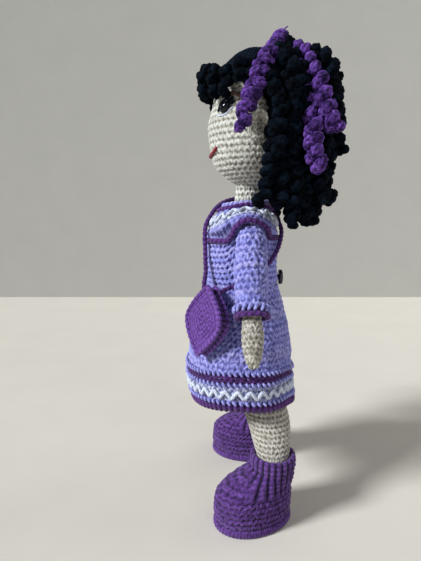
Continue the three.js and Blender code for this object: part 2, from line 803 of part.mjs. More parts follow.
const yokeRing = (share) => {
  const z = lerp(yokeLow, necklineZ, share.up);
  const body = ringAt(dressOver, z);
  return { ...body, z, halfWidth: (share.wide * shoulderWidth) / 2, lift: share.lift * yokeSideLift };
};
const yokeForm = [...yokeRingShares.map(yokeRing), { ...ringAt(dressOver, necklineZ), z: necklineZ }];
const yokeInner = flatEnds(grown(yokeForm, -dressWall), yokeForm[0].z, necklineZ);
const armholeBall = new THREE.SphereGeometry(sleeveOuterRadius * sleeveWiden + gap, bodySides, smallSides);
armholeBall.rotateX(Math.PI / 2).translate(shoulder.x, shoulder.y, shoulder.z);
const armholes = [armholeRod, armholeBall, mirrored(armholeBall)];
place("dress_yoke", cut(shell(yokeForm, yokeInner, skirtSides), ...armholes), "lilac");

// The purple seam under the yoke follows its lower edge.
const widened = (ring, by) => ({ ...ring, halfWidth: ring.halfWidth + by, halfDepth: ring.halfDepth + by });
const seamRing = (z) => ({ ...yokeForm[0], z, y: ringAt(dressOver, z).y, halfDepth: ringAt(dressOver, z).halfDepth });
const seamRings = [seamRing(yokeSeamZ + gap), seamRing(yokeLow - gap)];
const yokeSeam = shell(
  seamRings.map((ring) => widened(ring, seamProud)),
  seamRings.map((ring) => widened(ring, -dressWall)),
  skirtSides,
);
place("yoke_seam", cut(yokeSeam, ...armholes), "purple");

const skirtHeight = waistZ - skirtHemZ;
const skirtRingShares = [
  { up: 0, back: 0.037, wide: 1, deep: 0.965, lift: 0.84, tilt: 1 },
  { up: 0.13, back: 0.01, wide: 1, deep: 0.99, lift: 0.92, tilt: 0.4 },
  { up: 0.24, back: -0.002, wide: 0.98, deep: 1, lift: 1, tilt: 0 },
  { up: 0.44, back: 0.004, wide: 0.9, deep: 1, lift: 0.75, tilt: 0 },
  { up: 0.67, back: -0.004, wide: 0.77, deep: 0.925, lift: 0.4, tilt: 0 },
  { up: 0.845, back: 0.002, wide: 0.65, deep: 0.805, lift: 0.1, tilt: 0 },
];
const skirtRing = (share) => ({
  z: skirtHemZ + share.up * skirtHeight,
  y: bodyAxisY + share.back * skirtDepth,
  halfWidth: (share.wide * skirtWidth) / 2,
  halfDepth: (share.deep * skirtDepth) / 2,
  lift: share.lift * skirtSideLift,
  tilt: share.tilt * hemTilt,
});
const waistRing = { ...ringAt(dressOver, waistZ), z: waistZ, lift: 0, tilt: 0 };
const skirtForm = [...skirtRingShares.map(skirtRing), waistRing];
const skirtFoot = ringAt(skirtForm, skirtHemZ + hemHeight);
const skirtOuter = span(skirtForm, skirtFoot.z + gap, waistZ);
const skirtInnerForm = grown(skirtForm, -dressWall);
const skirtInner = flatEnds(span(skirtInnerForm, skirtFoot.z, waistZ), skirtFoot.z + gap, waistZ);
place("dress_skirt", shell(skirtOuter, skirtInner, skirtSides), "lilac");

// Bands on the skirt: the hem closes its lower edge and the stripe lies round it.
const hemRings = [{ ...skirtForm[0] }, { ...skirtFoot }];
const skirtHem = shell(
  hemRings.map((ring) => widened(ring, hemProud)),
  hemRings.map((ring) => widened(ring, -dressWall)),
  skirtSides,
);
place("skirt_hem", skirtHem, "purple");

const stripeRings = span(skirtForm, stripeBottomZ, stripeBottomZ + stripeHeight);
const stripe = shell(
  stripeRings.map((ring) => widened(ring, gap + stripeProud)),
  stripeRings.map((ring) => widened(ring, gap)),
  skirtSides,
);
place("skirt_stripe", stripe, "purple");

// The button closes the dress at the back of the waist.
const buttonSeat = spot(dressOver, buttonZ + buttonRadius, 180, gap);
const button = rodBetween(
  buttonSeat.point,
  buttonSeat.point.clone().addScaledVector(buttonSeat.normal, buttonThick),
  buttonRadius,
  smallSides,
);
place("back_button", cut(button, loft(rowsOf(grown(dressOver, gap), bodySides)), loft(rowsOf(grown(skirtForm, gap), skirtSides))), "black");

// Bag: its own frame has x along the discs towards the doll's back, y up and z out from the skirt

const facing = rad(bagFacingDeg);
const toBag = new THREE.Matrix4()
  .makeTranslation(bagX, bagY, bagZ)
  .multiply(
    new THREE.Matrix4().makeBasis(
      vec(Math.sin(facing), Math.cos(facing), 0),
      UP,
      vec(Math.cos(facing), -Math.sin(facing), 0),
    ),
  )
  .multiply(new THREE.Matrix4().makeRotationX(-rad(bagLeanDeg)));

function leafPoint(turn, inset, z) {
  const bulge = (share) => Math.sign(share) * Math.abs(share) ** leafPower;
  return vec((bagHalfWidth - inset) * bulge(Math.sin(turn)), (bagHalfHeight - inset) * bulge(Math.cos(turn)), z);
}

function bagDisc(low, high) {
  const row = (z) =>
    Array.from({ length: bagSides }, (_, i) => leafPoint((-2 * Math.PI * i) / bagSides, 0, z));
  return loft([row(low), row(high)]).applyMatrix4(toBag);
}

// The gusset runs round the leaf and leaves its top open.
function bagGusset(half) {
  const start = rad(bagMouthDeg / 2);
  const rows = [];
  for (let i = 0; i <= bagSides; i++) {
    const turn = start + ((2 * Math.PI - 2 * start) * i) / bagSides;
    rows.push([
      leafPoint(turn, 0, half),
      leafPoint(turn, bagGussetWall, half),
      leafPoint(turn, bagGussetWall, -half),
      leafPoint(turn, 0, -half),
    ]);
  }
  return loft(rows).applyMatrix4(toBag);
}
const bagHalfThick = bagThick / 2;
place("bag_front_disc", bagDisc(bagHalfThick - bagDiscWall, bagHalfThick), "violet");
place("bag_back_disc", bagDisc(-bagHalfThick, bagDiscWall - bagHalfThick), "violet");
place("bag_gusset", bagGusset(bagHalfThick - bagDiscWall - gap), "purple");

// The strap's route, from the bag's front corner over the right shoulder, across the back and under
// the left arm to the bag's back corner.
const strapRoute = [
  [28.1, -38.3, 194.4],
  [25.4, -38.2, 200.5],
  [21.5, -37, 208.5],
  [18, -37.3, 218],
  [15.5, -37.5, 228],
  [13.5, -37.8, 238],
  [10, -36.9, 247],
  [4.3, -32.2, 256],
  [-2.8, -26.4, 262.9],
  [-9.8, -19, 267.3],
  [-15.9, -10.6, 269.4],
  [-18.8, -1, 269.8],
  [-18.3, 9.5, 268.5],
  [-14.3, 18.8, 263.4],
  [-6.3, 24.8, 254],
  [4.3, 28.2, 243.6],
  [14.3, 25.8, 233],
  [23, 20.3, 223],
  [30.2, 12, 214],
  [33.6, 2, 206.5],
  [35.2, -8, 201],
  [38.4, -17.8, 198],
  [40.4, -26, 194.8],
];
const strap = threadAlong(strapRoute.map((point) => vec(...point)), strapDiameter / 2, strapSteps, smallSides);
place("bag_strap", strap, "purple");

// Hair cap: a crocheted wig base over the crown and the back of the head

const capOuterForm = grown(headForm, gap + capThick);
const belowHead = vec(-farOut, -farOut, headBottomZ - farOut);
const faceBlock = boxBetween(belowHead, vec(farOut, capBehindEarY, headUp(hairlineUpShare)));
const napeBlock = boxBetween(belowHead, vec(farOut, farOut, headUp(napeUpShare)));
const capSolid = loft(rowsOf(capOuterForm, headSides));
const headClearSolid = loft(rowsOf(grown(headForm, gap), headSides));
const capClear = loft(rowsOf(grown(headForm, capThick + 2 * gap), headSides));
place("hair_cap", cut(capSolid, headClearSolid, faceBlock, napeBlock), "black");

// A curl is one thick tube wound round a guide line, with short straight ends.
function curlRows(guide, coil, tube, turnLength) {
  const length = guide.getLength();
  const turns = Math.max(Math.round((length - 4 * tube) / turnLength), 1);
  const steps = turns * curlStepsPerTurn;
  const straight = (2 * tube) / length;
  const centres = [guide.getPointAt(0)];
  const side = new THREE.Vector3();
  for (let i = 0; i <= steps; i++) {
    const share = straight + ((1 - 2 * straight) * i) / steps;
    const tangent = guide.getTangentAt(share);
    if (i === 0) side.crossVectors(Math.abs(tangent.x) > 0.9 ? UP : AXIS_X, tangent).normalize();
    else side.addScaledVector(tangent, -side.dot(tangent)).normalize();
    const other = tangent.clone().cross(side);
    const turn = (2 * Math.PI * i) / curlStepsPerTurn;
    const ease = Math.min(1, i / curlEaseSteps, (steps - i) / curlEaseSteps);
    const point = guide.getPointAt(share);
    point.addScaledVector(side, ease * coil * Math.cos(turn)).addScaledVector(other, ease * coil * Math.sin(turn));
    centres.push(point);
  }
  centres.push(guide.getPointAt(1));
  return centres;
}

// A tube of few sides through a list of centres, tapering from one end to the other.
function tubeThrough(centres, radii, sides) {
  const side = new THREE.Vector3();
  const rows = centres.map((centre, i) => {
    const before = centres[Math.max(i - 1, 0)];
    const after = centres[Math.min(i + 1, centres.length - 1)];
    const tangent = after.clone().sub(before).normalize();
    if (i === 0) side.crossVectors(Math.abs(tangent.x) > 0.9 ? UP : AXIS_X, tangent).normalize();
    else side.addScaledVector(tangent, -side.dot(tangent)).normalize();
    const other = tangent.clone().cross(side);
    return Array.from({ length: sides }, (_, s) => {
      const turn = (2 * Math.PI * s) / sides;
      const point = centre.clone().addScaledVector(side, radii[i] * Math.cos(turn));
      return point.addScaledVector(other, radii[i] * Math.sin(turn));
    });
  });
  return loft(rows);
}

// Least distance between parts of a curl almost a turn apart or more, less the tube's thickness.
function leastSelfGap(centres, tube) {
  let least = Infinity;
  const apart = curlStepsPerTurn - 1;
  for (let i = 0; i < centres.length; i++) {
    for (let j = i + apart; j < centres.length; j++) least = Math.min(least, centres[i].distanceTo(centres[j]));
  }
  return least - 2 * tube;
}

// Purple curls lie on the cap and hang past it. Each guide is a list of heights, angles and stand-off shares.
const curlStand = curlCoil + curlTube + 2 * gap;
const curlGuideShares = {
  purple_curl_front: [
    { up: 1, deg: 150, out: 1 },
    { up: 0.95, deg: 108, out: 1 },
    { up: 0.84, deg: 93, out: 1 },
    { up: 0.7, deg: 86, out: 1 },
    { up: 0.57, deg: 81, out: 1.05 },
    { up: 0.46, deg: 77, out: 1 },
    { up: 0.39, deg: 76, out: 1 },
  ],
  purple_curl_middle: [
    { up: 0.93, deg: 148, out: 0.3 },
    { up: 0.87, deg: 147, out: 1.5 },
    { up: 0.77, deg: 146, out: 2.1 },
    { up: 0.66, deg: 144, out: 2.4 },
    { up: 0.54, deg: 142, out: 2.8 },
    { up: 0.4, deg: 141, out: 3.6 },
  ],
  purple_curl_back: [
    { up: 0.8, deg: 124, out: 0.3 },
    { up: 0.7, deg: 125, out: 1.6 },
    { up: 0.57, deg: 125, out: 2.2 },
    { up: 0.46, deg: 125, out: 2.9 },
    { up: 0.3, deg: 125, out: 3.2 },
    { up: 0.16, deg: 127, out: 3.4 },
  ],
};

function guideFrom(shares, mirror = 1) {
  const points = shares.map((share) => {
    const seat = spot(capOuterForm, Math.min(headUp(share.up), crownZ), share.deg, share.out * curlStand);
    return vec(mirror * seat.point.x, seat.point.y, seat.point.z);
  });
  return new THREE.CatmullRomCurve3(points);
}

let leastCurlGap = Infinity;
const purpleGuides = [];
function placeCurl(name, guide, yarn) {
  const centres = curlRows(guide, curlCoil, curlTube, curlPitch);
  leastCurlGap = Math.min(leastCurlGap, leastSelfGap(centres, curlTube));
  purpleGuides.push(guide);
  place(name, cut(tubeThrough(centres, centres.map(() => curlTube), curlSides), capClear), yarn);
}

for (const [name, shares] of Object.entries(curlGuideShares)) {
  placeCurl("left_" + name, guideFrom(shares), "plum");
  placeCurl("right_" + name, guideFrom(shares, -1), "plum");
}

// Black curls hang in layers. Each layer is sewn to the cap along a root row, and each curl is a plain
// tapered tube that leaves the cap, stands off and drops. The purple curls lie in between them.
const halfHead = headDepth / 2;
function polar(deg, reach, up) {
  return vec(reach * Math.sin(rad(deg)), headAxisY - reach * Math.cos(rad(deg)), headUp(up));
}

function lock(points, radius, steps = lockSteps) {
  const centres = new THREE.CatmullRomCurve3(points).getSpacedPoints(steps);
  const radii = centres.map(() => radius);
  radii[steps] = radius * lockTipShare;
  return tubeThrough(centres, radii, lockSides);
}

// The root and the reach are shares of half the head's depth. The tip is a share of the head's height.
const layerShares = {
  black_curls_outer: {
    rootUp: 0.88,
    root: 0.8,
    curls: [
      { deg: 160, reach: 1.86, tip: -0.18 },
      { deg: 180, reach: 1.9, tip: -0.22 },
      { deg: 200, reach: 1.86, tip: -0.18 },
    ],
  },
  black_curls_inner: {
    rootUp: 0.6,
    root: 1.14,
    curls: [
      { deg: 105, reach: 1.28, tip: -0.02 },
      { deg: 130, reach: 1.36, tip: -0.18 },
      { deg: 155, reach: 1.42, tip: -0.3 },
      { deg: 180, reach: 1.4, tip: -0.24 },
      { deg: 205, reach: 1.42, tip: -0.3 },
      { deg: 230, reach: 1.36, tip: -0.18 },
      { deg: 255, reach: 1.28, tip: -0.02 },
    ],
  },
};
const purpleClear = purpleGuides.map((guide) => {
  const centres = guide.getSpacedPoints(clearSteps);
  const beyond = (end, next) => end.clone().lerp(next, -1);
  centres.unshift(beyond(centres[0], centres[1]));
  centres.push(beyond(centres.at(-1), centres.at(-2)));
  return tubeThrough(centres, centres.map(() => curlStand + 2 * gap), smallSides);
});
for (const [name, layer] of Object.entries(layerShares)) {
  const rootPoint = (deg) => polar(deg, layer.root * halfHead, layer.rootUp);
  const curlPoint = (curl, spread, drop) =>
    polar(
      curl.deg,
      lerp(layer.root, curl.reach, spread) * halfHead,
      lerp(layer.rootUp, curl.tip, drop),
    );
  const rootRow = [];
  for (let deg = layer.curls[0].deg; deg <= layer.curls.at(-1).deg; deg += rootStepDeg) rootRow.push(rootPoint(deg));
  const locks = layer.curls.map((curl) =>
    lock(
      [
        rootPoint(curl.deg),
        curlPoint(curl, 0.5, 0.03),
        curlPoint(curl, 0.86, 0.2),
        curlPoint(curl, 1, 0.5),
        curlPoint(curl, 1, 0.75),
        curlPoint(curl, 0.86, 1),
      ],
      lockRadius,
    ),
  );
  const hair = join(lock(rootRow, lockRadius, rootRow.length), ...locks);
  place(name, cut(hair, capClear, ...purpleClear), "black");
}

// The fringe's short curls stand off the front of the cap, above the forehead. Every other one hangs lower.
const fringeDegs = [-48, -32, -16, 0, 16, 32, 48];
const fringeLowShare = 0.06;
const fringeRootShares = { reach: 0.86, up: 0.84 };
const fringeShares = [
  { reach: 1.06, up: 0.83 },
  { reach: 1.17, up: 0.77, low: 1 },
  { reach: 1.12, up: 0.71, low: 1 },
];
const fringePoint = (deg, share, down) =>
  polar(deg, share.reach * halfHead, share.up - down * (share.low ?? 0) * fringeLowShare);
const fringeLocks = fringeDegs.map((deg, i) =>
  lock([fringeRootShares, ...fringeShares].map((share) => fringePoint(deg, share, i % 2)), fringeRadius, fringeSteps),
);
const fringeRow = fringeDegs.map((deg) => fringePoint(deg, fringeRootShares, 0));
const fringe = join(lock(fringeRow, fringeRadius, fringeRow.length), ...fringeLocks);
place("fringe_curls", cut(fringe, capClear, ...purpleClear), "black");

console.log("least gap between the turns of a curl: " + leastCurlGap.toFixed(2) + " mm");

// The origin is under the middle of the doll's outline, on the table.
const outline = new THREE.Box3().setFromObject(doll);
const middle = outline.getCenter(vec(0, 0, 0));
doll.position.set(-middle.x, -middle.y, -outline.min.z);

export default doll;
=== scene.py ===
"""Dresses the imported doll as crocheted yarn. Metres, +Z up. The doll faces -Y and its left side is +X."""

import json
import math

import bpy
import numpy as np
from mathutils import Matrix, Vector
from mathutils.bvhtree import BVHTree


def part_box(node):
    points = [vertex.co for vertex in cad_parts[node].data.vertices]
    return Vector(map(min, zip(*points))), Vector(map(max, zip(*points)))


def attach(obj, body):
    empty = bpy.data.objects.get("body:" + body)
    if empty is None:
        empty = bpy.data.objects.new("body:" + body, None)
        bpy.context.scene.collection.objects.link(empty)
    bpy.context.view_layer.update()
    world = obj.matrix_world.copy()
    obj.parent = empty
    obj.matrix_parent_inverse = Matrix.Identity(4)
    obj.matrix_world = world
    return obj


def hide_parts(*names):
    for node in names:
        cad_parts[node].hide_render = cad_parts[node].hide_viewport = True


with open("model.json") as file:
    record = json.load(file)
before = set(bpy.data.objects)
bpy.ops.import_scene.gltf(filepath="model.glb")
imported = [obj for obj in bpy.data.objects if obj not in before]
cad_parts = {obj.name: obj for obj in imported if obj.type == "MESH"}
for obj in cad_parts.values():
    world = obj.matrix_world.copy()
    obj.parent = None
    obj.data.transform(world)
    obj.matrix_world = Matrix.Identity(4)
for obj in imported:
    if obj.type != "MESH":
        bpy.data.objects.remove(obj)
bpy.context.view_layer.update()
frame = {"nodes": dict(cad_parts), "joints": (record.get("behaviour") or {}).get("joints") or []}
NODES = frame["nodes"]
JOINTS = {joint["name"]: joint for joint in frame["joints"]}

MM = 0.001
TAU = 2 * math.pi
QUARTER = math.pi / 2
SIDES = (("left", 1), ("right", -1))
LEVEL_FRONT = Vector((0, -1, 0))
NECK = Vector(JOINTS["head_turn"]["pos_m"])
NECK_Y = 0.5  # the neck's axis in the doll's own millimetres
HOME = Vector((0, NECK.y - NECK_Y * MM, 0))

rng = np.random.default_rng(7)


def at(x, y, z):
    """A point given in the doll's own millimetres, in the row frame."""
    return HOME + Vector((x, y, z)) * MM


def turned(angle):
    """The level direction at an angle from the doll's front towards its left."""
    return Vector((math.sin(angle), -math.cos(angle), 0))


STEP_ROUND = 96
ROUND = np.arange(STEP_ROUND) * TAU / STEP_ROUND
FROM_FRONT = np.abs((ROUND + math.pi) % TAU - math.pi)
LEVEL_WAYS = np.array([turned(angle) for angle in ROUND])

# Camera, as the photograph was taken

PHOTO_LONG_SIDE = 561
FOCAL_PIXELS = 422
SENSOR = 36
CAMERA_AT = at(372, -33, 263)
CAMERA_PITCH = math.radians(10)
CLIP_START = 10 * MM

camera_data = bpy.data.cameras.new("camera")
camera_data.sensor_width = SENSOR
camera_data.lens = FOCAL_PIXELS / PHOTO_LONG_SIDE * SENSOR
camera_data.clip_start = CLIP_START
camera = bpy.data.objects.new("camera", camera_data)
camera.location = CAMERA_AT
camera.rotation_euler = (QUARTER - CAMERA_PITCH, 0, QUARTER)
bpy.context.scene.collection.objects.link(camera)
bpy.context.scene.camera = camera

# Materials

FIBRE_SCALE = 1500
PLY_SCALE = 480
PLY_SHADE = 0.55
PLY_DEPTH = 0.7 * MM
FIBRE_DEPTH = 0.35 * MM


def new_material(name, **inputs):
    """A material, its node tree and its shader, whose inputs are named with _ for a space."""
    material = bpy.data.materials.new(name)
    material.use_nodes = True
    shader = material.node_tree.nodes["Principled BSDF"]
    for key, value in inputs.items():
        shader.inputs[key.replace("_", " ")].default_value = value
    return material, material.node_tree, shader


def add_node(tree, kind, **inputs):
    """A new node. An input that is another node's output is linked, and any other is set."""
    node = tree.nodes.new("ShaderNode" + kind)
    for key, value in inputs.items():
        target = node.inputs[key.replace("_", " ")]
        if isinstance(value, bpy.types.NodeSocket):
            tree.links.new(value, target)
        else:
            target.default_value = value
    return node


def yarn_material(name, light, dark, accent, white=None, sheen=0.15, specular=0.2):
    """Yarn: lighter on the stitches, with painted shade between them and in the ply grooves, and a soft change
    of tone along the thread.
    """
    material, tree, shader = new_material(
        name, Roughness=0.88, Sheen_Weight=sheen, Sheen_Roughness=0.5, Specular_IOR_Level=specular)

    def attribute(key):
        node = add_node(tree, "Attribute")
        node.attribute_name = key
        return node.outputs["Fac"]

    def mix(factor, low, high):
        node = add_node(tree, "Mix")
        node.data_type = "RGBA"
        tree.links.new(factor, node.inputs["Factor"])
        for key, value in (("A", low), ("B", high)):
            target = next(s for s in node.inputs if s.name == key and s.type == "RGBA")
            if isinstance(value, tuple):
                target.default_value = (*value, 1)
            else:
                tree.links.new(value, target)
        return next(s for s in node.outputs if s.type == "RGBA")

    def mapped(value, low, high, top=1.0):
        node = add_node(tree, "MapRange", Value=value, From_Min=low, From_Max=high, To_Max=top)
        return node.outputs["Result"]

    lit = mix(attribute("tone"), light, accent)
    if white:
        lit = mix(attribute("white"), lit, white)
    where = add_node(tree, "TexCoord").outputs["Object"]
    fibres = add_node(tree, "TexNoise", Vector=where, Scale=FIBRE_SCALE, Detail=3).outputs["Fac"]
    plies = add_node(tree, "TexVoronoi", Vector=where, Scale=PLY_SCALE).outputs["Distance"]
    # Where proud is low, between stitches, beads and plies, the dark colour is painted shade
    shaded = mix(mapped(attribute("proud"), 0.2, 0.9), dark, lit)
    speckled = mix(mapped(fibres, 0.3, 0.75, 0.35), shaded, dark)
    # The ply cells' edges, where the bump sinks, take painted shade toward the dark colour too
    colour = mix(mapped(plies, 0.35, 0.8, PLY_SHADE), speckled, dark)
    tree.links.new(colour, shader.inputs["Base Color"])
    loops = add_node(tree, "Bump", Strength=0.55, Distance=PLY_DEPTH, Height=plies)
    loops.invert = True
    under = loops.outputs["Normal"]
    bump = add_node(tree, "Bump", Strength=0.5, Distance=FIBRE_DEPTH, Height=fibres, Normal=under)
    tree.links.new(bump.outputs["Normal"], shader.inputs["Normal"])
    return material


def plain_material(name, colour, roughness, coat=0.0, grain=0.0, grain_scale=300, specular=0.5):
    """One colour with a soft grain."""
    material, tree, shader = new_material(
        name, Roughness=roughness, Coat_Weight=coat, Specular_IOR_Level=specular)
    where = add_node(tree, "TexCoord").outputs["Object"]
    noise = add_node(tree, "TexNoise", Vector=where, Scale=grain_scale).outputs["Fac"]
    ramp = add_node(tree, "ValToRGB", Fac=noise)
    for stop, change in zip(ramp.color_ramp.elements, (-grain, grain)):
        stop.color = (*(min(c * (1 + change), 1) for c in colour), 1)
    tree.links.new(ramp.outputs["Color"], shader.inputs["Base Color"])
    return material


# Each yarn's colour on the stitches, its painted shade between them, and where its tone changes
YARNS = {
    "skin_yarn": ((0.89, 0.90, 0.85), (0.21, 0.19, 0.15), (0.78, 0.79, 0.73)),
    # limb is the skin yarn made darker: painted shade for the legs and arms
    "limb_yarn": ((0.72, 0.69, 0.63), (0.16, 0.14, 0.11), (0.60, 0.57, 0.51)),
    "lilac_yarn": ((0.40, 0.42, 1.0), (0.07, 0.065, 0.27), (0.56, 0.54, 1.0)),
    "purple_yarn": ((0.10, 0.028, 0.20), (0.012, 0.003, 0.03), (0.14, 0.04, 0.26)),
    "bag_yarn": ((0.18, 0.066, 0.37), (0.03, 0.009, 0.075), (0.225, 0.093, 0.45)),
    "boot_yarn": ((0.142, 0.050, 0.30), (0.010, 0.003, 0.026), (0.195, 0.078, 0.385)),
    "plum_yarn": ((0.205, 0.078, 0.49), (0.010, 0.003, 0.035), (0.285, 0.12, 0.62)),
    "black_yarn": ((0.0042, 0.0095, 0.019), (0.0006, 0.0009, 0.0018), (0.0065, 0.015, 0.029)),
    "white_yarn": ((0.86, 0.92, 0.97), (0.28, 0.28, 0.44), (0.76, 0.85, 0.98)),
    "red_thread": ((0.30, 0.02, 0.04), (0.10, 0.006, 0.012), (0.36, 0.03, 0.05)),
    "brown_thread": ((0.15, 0.085, 0.08), (0.04, 0.02, 0.02), (0.20, 0.12, 0.11)),
}
YARN_EXTRAS = {
    "lilac_yarn": {"white": (0.86, 0.92, 0.98)},
    "plum_yarn": {"sheen": 0.03, "specular": 0.1},
    "black_yarn": {"sheen": 0.0, "specular": 0.04},
}
MATERIALS = {
    name.split("_")[0]: yarn_material(name, *colours, **YARN_EXTRAS.get(name, {}))
    for name, colours in YARNS.items()
}
MATERIALS["gloss"] = plain_material("eye_gloss", (0.002, 0.003, 0.006), 0.13, grain=0.2, specular=0.35)
MATERIALS["button"] = plain_material("button_plastic", (0.01, 0.009, 0.02), 0.3, coat=0.3, grain=0.3)
MATERIALS["card"] = plain_material("card", (0.45, 0.34, 0.22), 0.9, grain=0.25)
MATERIALS["wood"] = plain_material("dowel", (0.55, 0.38, 0.2), 0.7, grain=0.3, grain_scale=120)
MATERIALS["fill"] = plain_material("fibre_fill", (0.85, 0.84, 0.8), 1.0, grain=0.1, grain_scale=900)
MATERIALS["plastic"] = plain_material("washer_plastic", (0.75, 0.75, 0.73), 0.4, grain=0.05)


# Meshes from grids of points

BOTH_ENDS = (0, -1)
FIRST_END = (0,)
LAST_END = (-1,)


def smoothed(values, reach, axis, wraps):
    """A Gaussian blur along one axis of an array."""
    half = int(math.ceil(3 * reach))
    weights = np.exp(-0.5 * (np.arange(-half, half + 1) / reach) ** 2)
    weights /= weights.sum()
    pad = [(0, 0)] * values.ndim
    pad[axis] = (half, half)
    padded = np.pad(values, pad, mode="wrap" if wraps else "edge")
    total = np.zeros_like(values)
    for offset, weight in enumerate(weights):
        take = [slice(None)] * values.ndim
        take[axis] = slice(offset, offset + values.shape[axis])
        total += weight * padded[tuple(take)]
    return total


def resampled(grid, count):
    """The grid with a new number of points round each row, by straight steps between the old ones."""
    size = grid.shape[1]
    place = np.arange(count) * (size / count)
    low = np.floor(place).astype(int)
    share = (place - low)[None, :, None]
    return grid[:, low] * (1 - share) + grid[:, (low + 1) % size] * share


def normals_of(grid):
    """Outward normals of a grid of rows that go round, counter-clockwise from above, and upwards."""
    around = np.roll(grid, -1, 1) - np.roll(grid, 1, 1)
    normal = np.cross(around, np.gradient(grid, axis=0))
    return normal / np.maximum(np.linalg.norm(normal, axis=2, keepdims=True), 1e-12)


def interpolated(places, known, points):
    """Points at the given places, between points whose places are known."""
    return np.stack([np.interp(places, known, points[:, k]) for k in range(3)], axis=-1)


def arc_lengths(line):
    """The length from a line's start to each of its points."""
    return np.concatenate([[0], np.cumsum(np.linalg.norm(np.diff(line, axis=0), axis=1))])


def slimmed(rows, share):
    """Rows drawn in towards their own middles. share is one number, or one for each point."""
    middle = rows.mean(1, keepdims=True)
    return middle + (rows - middle) * share


def ring_in(ring, z, shares, rises=None, middle=None):
    """Level rows inside a ring, each a share of its size, raised by so many millimetres."""
    middle = ring.mean(0) if middle is None else middle
    rows = middle + (ring - middle) * np.array(shares)[:, None, None]
    rows[:, :, 2] = z + np.array(rises or [0] * len(shares))[:, None] * MM
    return rows


def link_mesh(name, points, faces, layers, material):
    mesh = bpy.data.meshes.new(name)
    mesh.from_pydata(points.reshape(-1, 3).tolist(), [], faces)
    for key, values in layers.items():
        layer = mesh.attributes.new(key, "FLOAT", "POINT")
        layer.data.foreach_set("value", np.asarray(values, np.float32).ravel())
    mesh.materials.append(MATERIALS[material])
    mesh.polygons.foreach_set("use_smooth", np.ones(len(mesh.polygons), bool))
    mesh.validate()
    obj = bpy.data.objects.new(name, mesh)
    bpy.context.scene.collection.objects.link(obj)
    return obj


def closed(grid, layers, ends, first=0):
    """A grid's points, layers and faces. A middle point closes each end row, after the grid's points."""
    rows, sides = grid.shape[:2]
    points = np.concatenate([grid.reshape(-1, 3), *(grid[end].mean(0, keepdims=True) for end in ends)])
    layers = {key: np.concatenate([v.ravel(), [v[end].mean() for end in ends]]) for key, v in layers.items()}
    index = first + np.arange(rows * sides).reshape(rows, sides)
    following = np.roll(index, -1, 1)
    faces = np.stack([index[:-1], following[:-1], following[1:], index[1:]], axis=2).reshape(-1, 4).tolist()
    for hub, end in enumerate(ends, first + rows * sides):
        ring, ahead = index[end].tolist(), following[end].tolist()
        pairs = zip(ahead, ring) if end == 0 else zip(ring, ahead)
        faces += [[b, c, hub] for b, c in pairs]
    return points, layers, faces


def sewn(obj, body, material, *nodes, fill=None):
    """Finishes a piece: its body, and the CAD nodes that it stands for."""
    if nodes:
        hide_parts(*nodes)
    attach(obj, body)
    return obj


def gathered(name, parts, material, body, *nodes):
    """One piece from many closed tubes: each part is (grid, layers)."""
    points, faces, layers, first = [], [], {}, 0
    for grid, part_layers in parts:
        part_points, part_layers, part_faces = closed(grid, part_layers, BOTH_ENDS, first)
        points.append(part_points)
        faces += part_faces
        for key, values in part_layers.items():
            layers.setdefault(key, []).append(values)
        first += len(part_points)
    layers = {key: np.concatenate(values) for key, values in layers.items()}
    obj = link_mesh(name, np.concatenate(points), faces, layers, material)
    return sewn(obj, body, material, *nodes)


# Stitches, as heights from 0 to 1 over a cell that is one stitch wide and one row tall.
# turn runs from 0 to 1 round the piece, row counts rows upwards, and counts has each row's stitches.

V_LEAN = 0.16
V_THREAD = 0.33
V_FILL = 0.3
KNOTS = ((0.27, 0.42), (0.77, 0.58))
KNOT_WIDTH = 0.34
KNOT_HEIGHT = 0.60


def chance(*keys):
    """A repeatable number from 0 to 1 for whole-number keys."""
    total = sum(np.asarray(key, float) * factor for key, factor in zip(keys, (12.9898, 78.233, 37.719)))
    return np.modf(np.abs(np.sin(total) * 43758.5453))[0]


def cells(turn, row, counts, lean):
    """Each stitch near the points: its number, its row, and the points' places in it."""
    base = np.floor(row).astype(int)
    for shift in (-1, 0, 1):
        k = np.clip(base + shift, 0, len(counts) - 1)
        a = turn * counts[k] + lean * k
        cell = np.floor(a)
        for side in (-1, 0, 1):
            yield np.mod(cell + side, counts[k]), k, a - cell - side, row - (base + shift)


def strand(a, b, start, end, half_width):
    """Height of a round thread that lies from start to end."""
    way = (end[0] - start[0], end[1] - start[1])
    length = way[0] ** 2 + way[1] ** 2
    share = np.clip(((a - start[0]) * way[0] + (b - start[1]) * way[1]) / length, 0, 1)
    away = np.hypot(a - start[0] - share * way[0], b - start[1] - share * way[1])
    return np.sqrt(np.clip(1 - (away / half_width) ** 2, 0, 1)) * (0.74 + 0.26 * share)


def v_stitches(turn, row, counts):
    """Rows of V-shaped stitches."""
    ridge = np.sin(np.pi * np.clip(row - np.floor(row), 0, 1)) ** 0.5
    height = V_FILL * (0.55 + 0.45 * ridge)
    for number, k, a, b in cells(turn, row, counts, V_LEAN):
        slip = 0.14 * (chance(number, k) - 0.5)
        rise = 0.14 * (chance(number, k, 3) - 0.5)
        size = 1 - 0.16 * chance(number, k, 7)
        for leg in (0.05, 0.95):
            lying = strand(a - slip, b - rise, (0.5, 0.02), (leg, 0.98), V_THREAD)
            height = np.maximum(height, lying * size)
    return height


def ridged(turn, row, counts):
    """Stitches whose rows stand out as ridges."""
    return 0.5 * np.abs(np.sin(np.pi * row)) ** 0.6 + 0.5 * v_stitches(turn, row, counts)


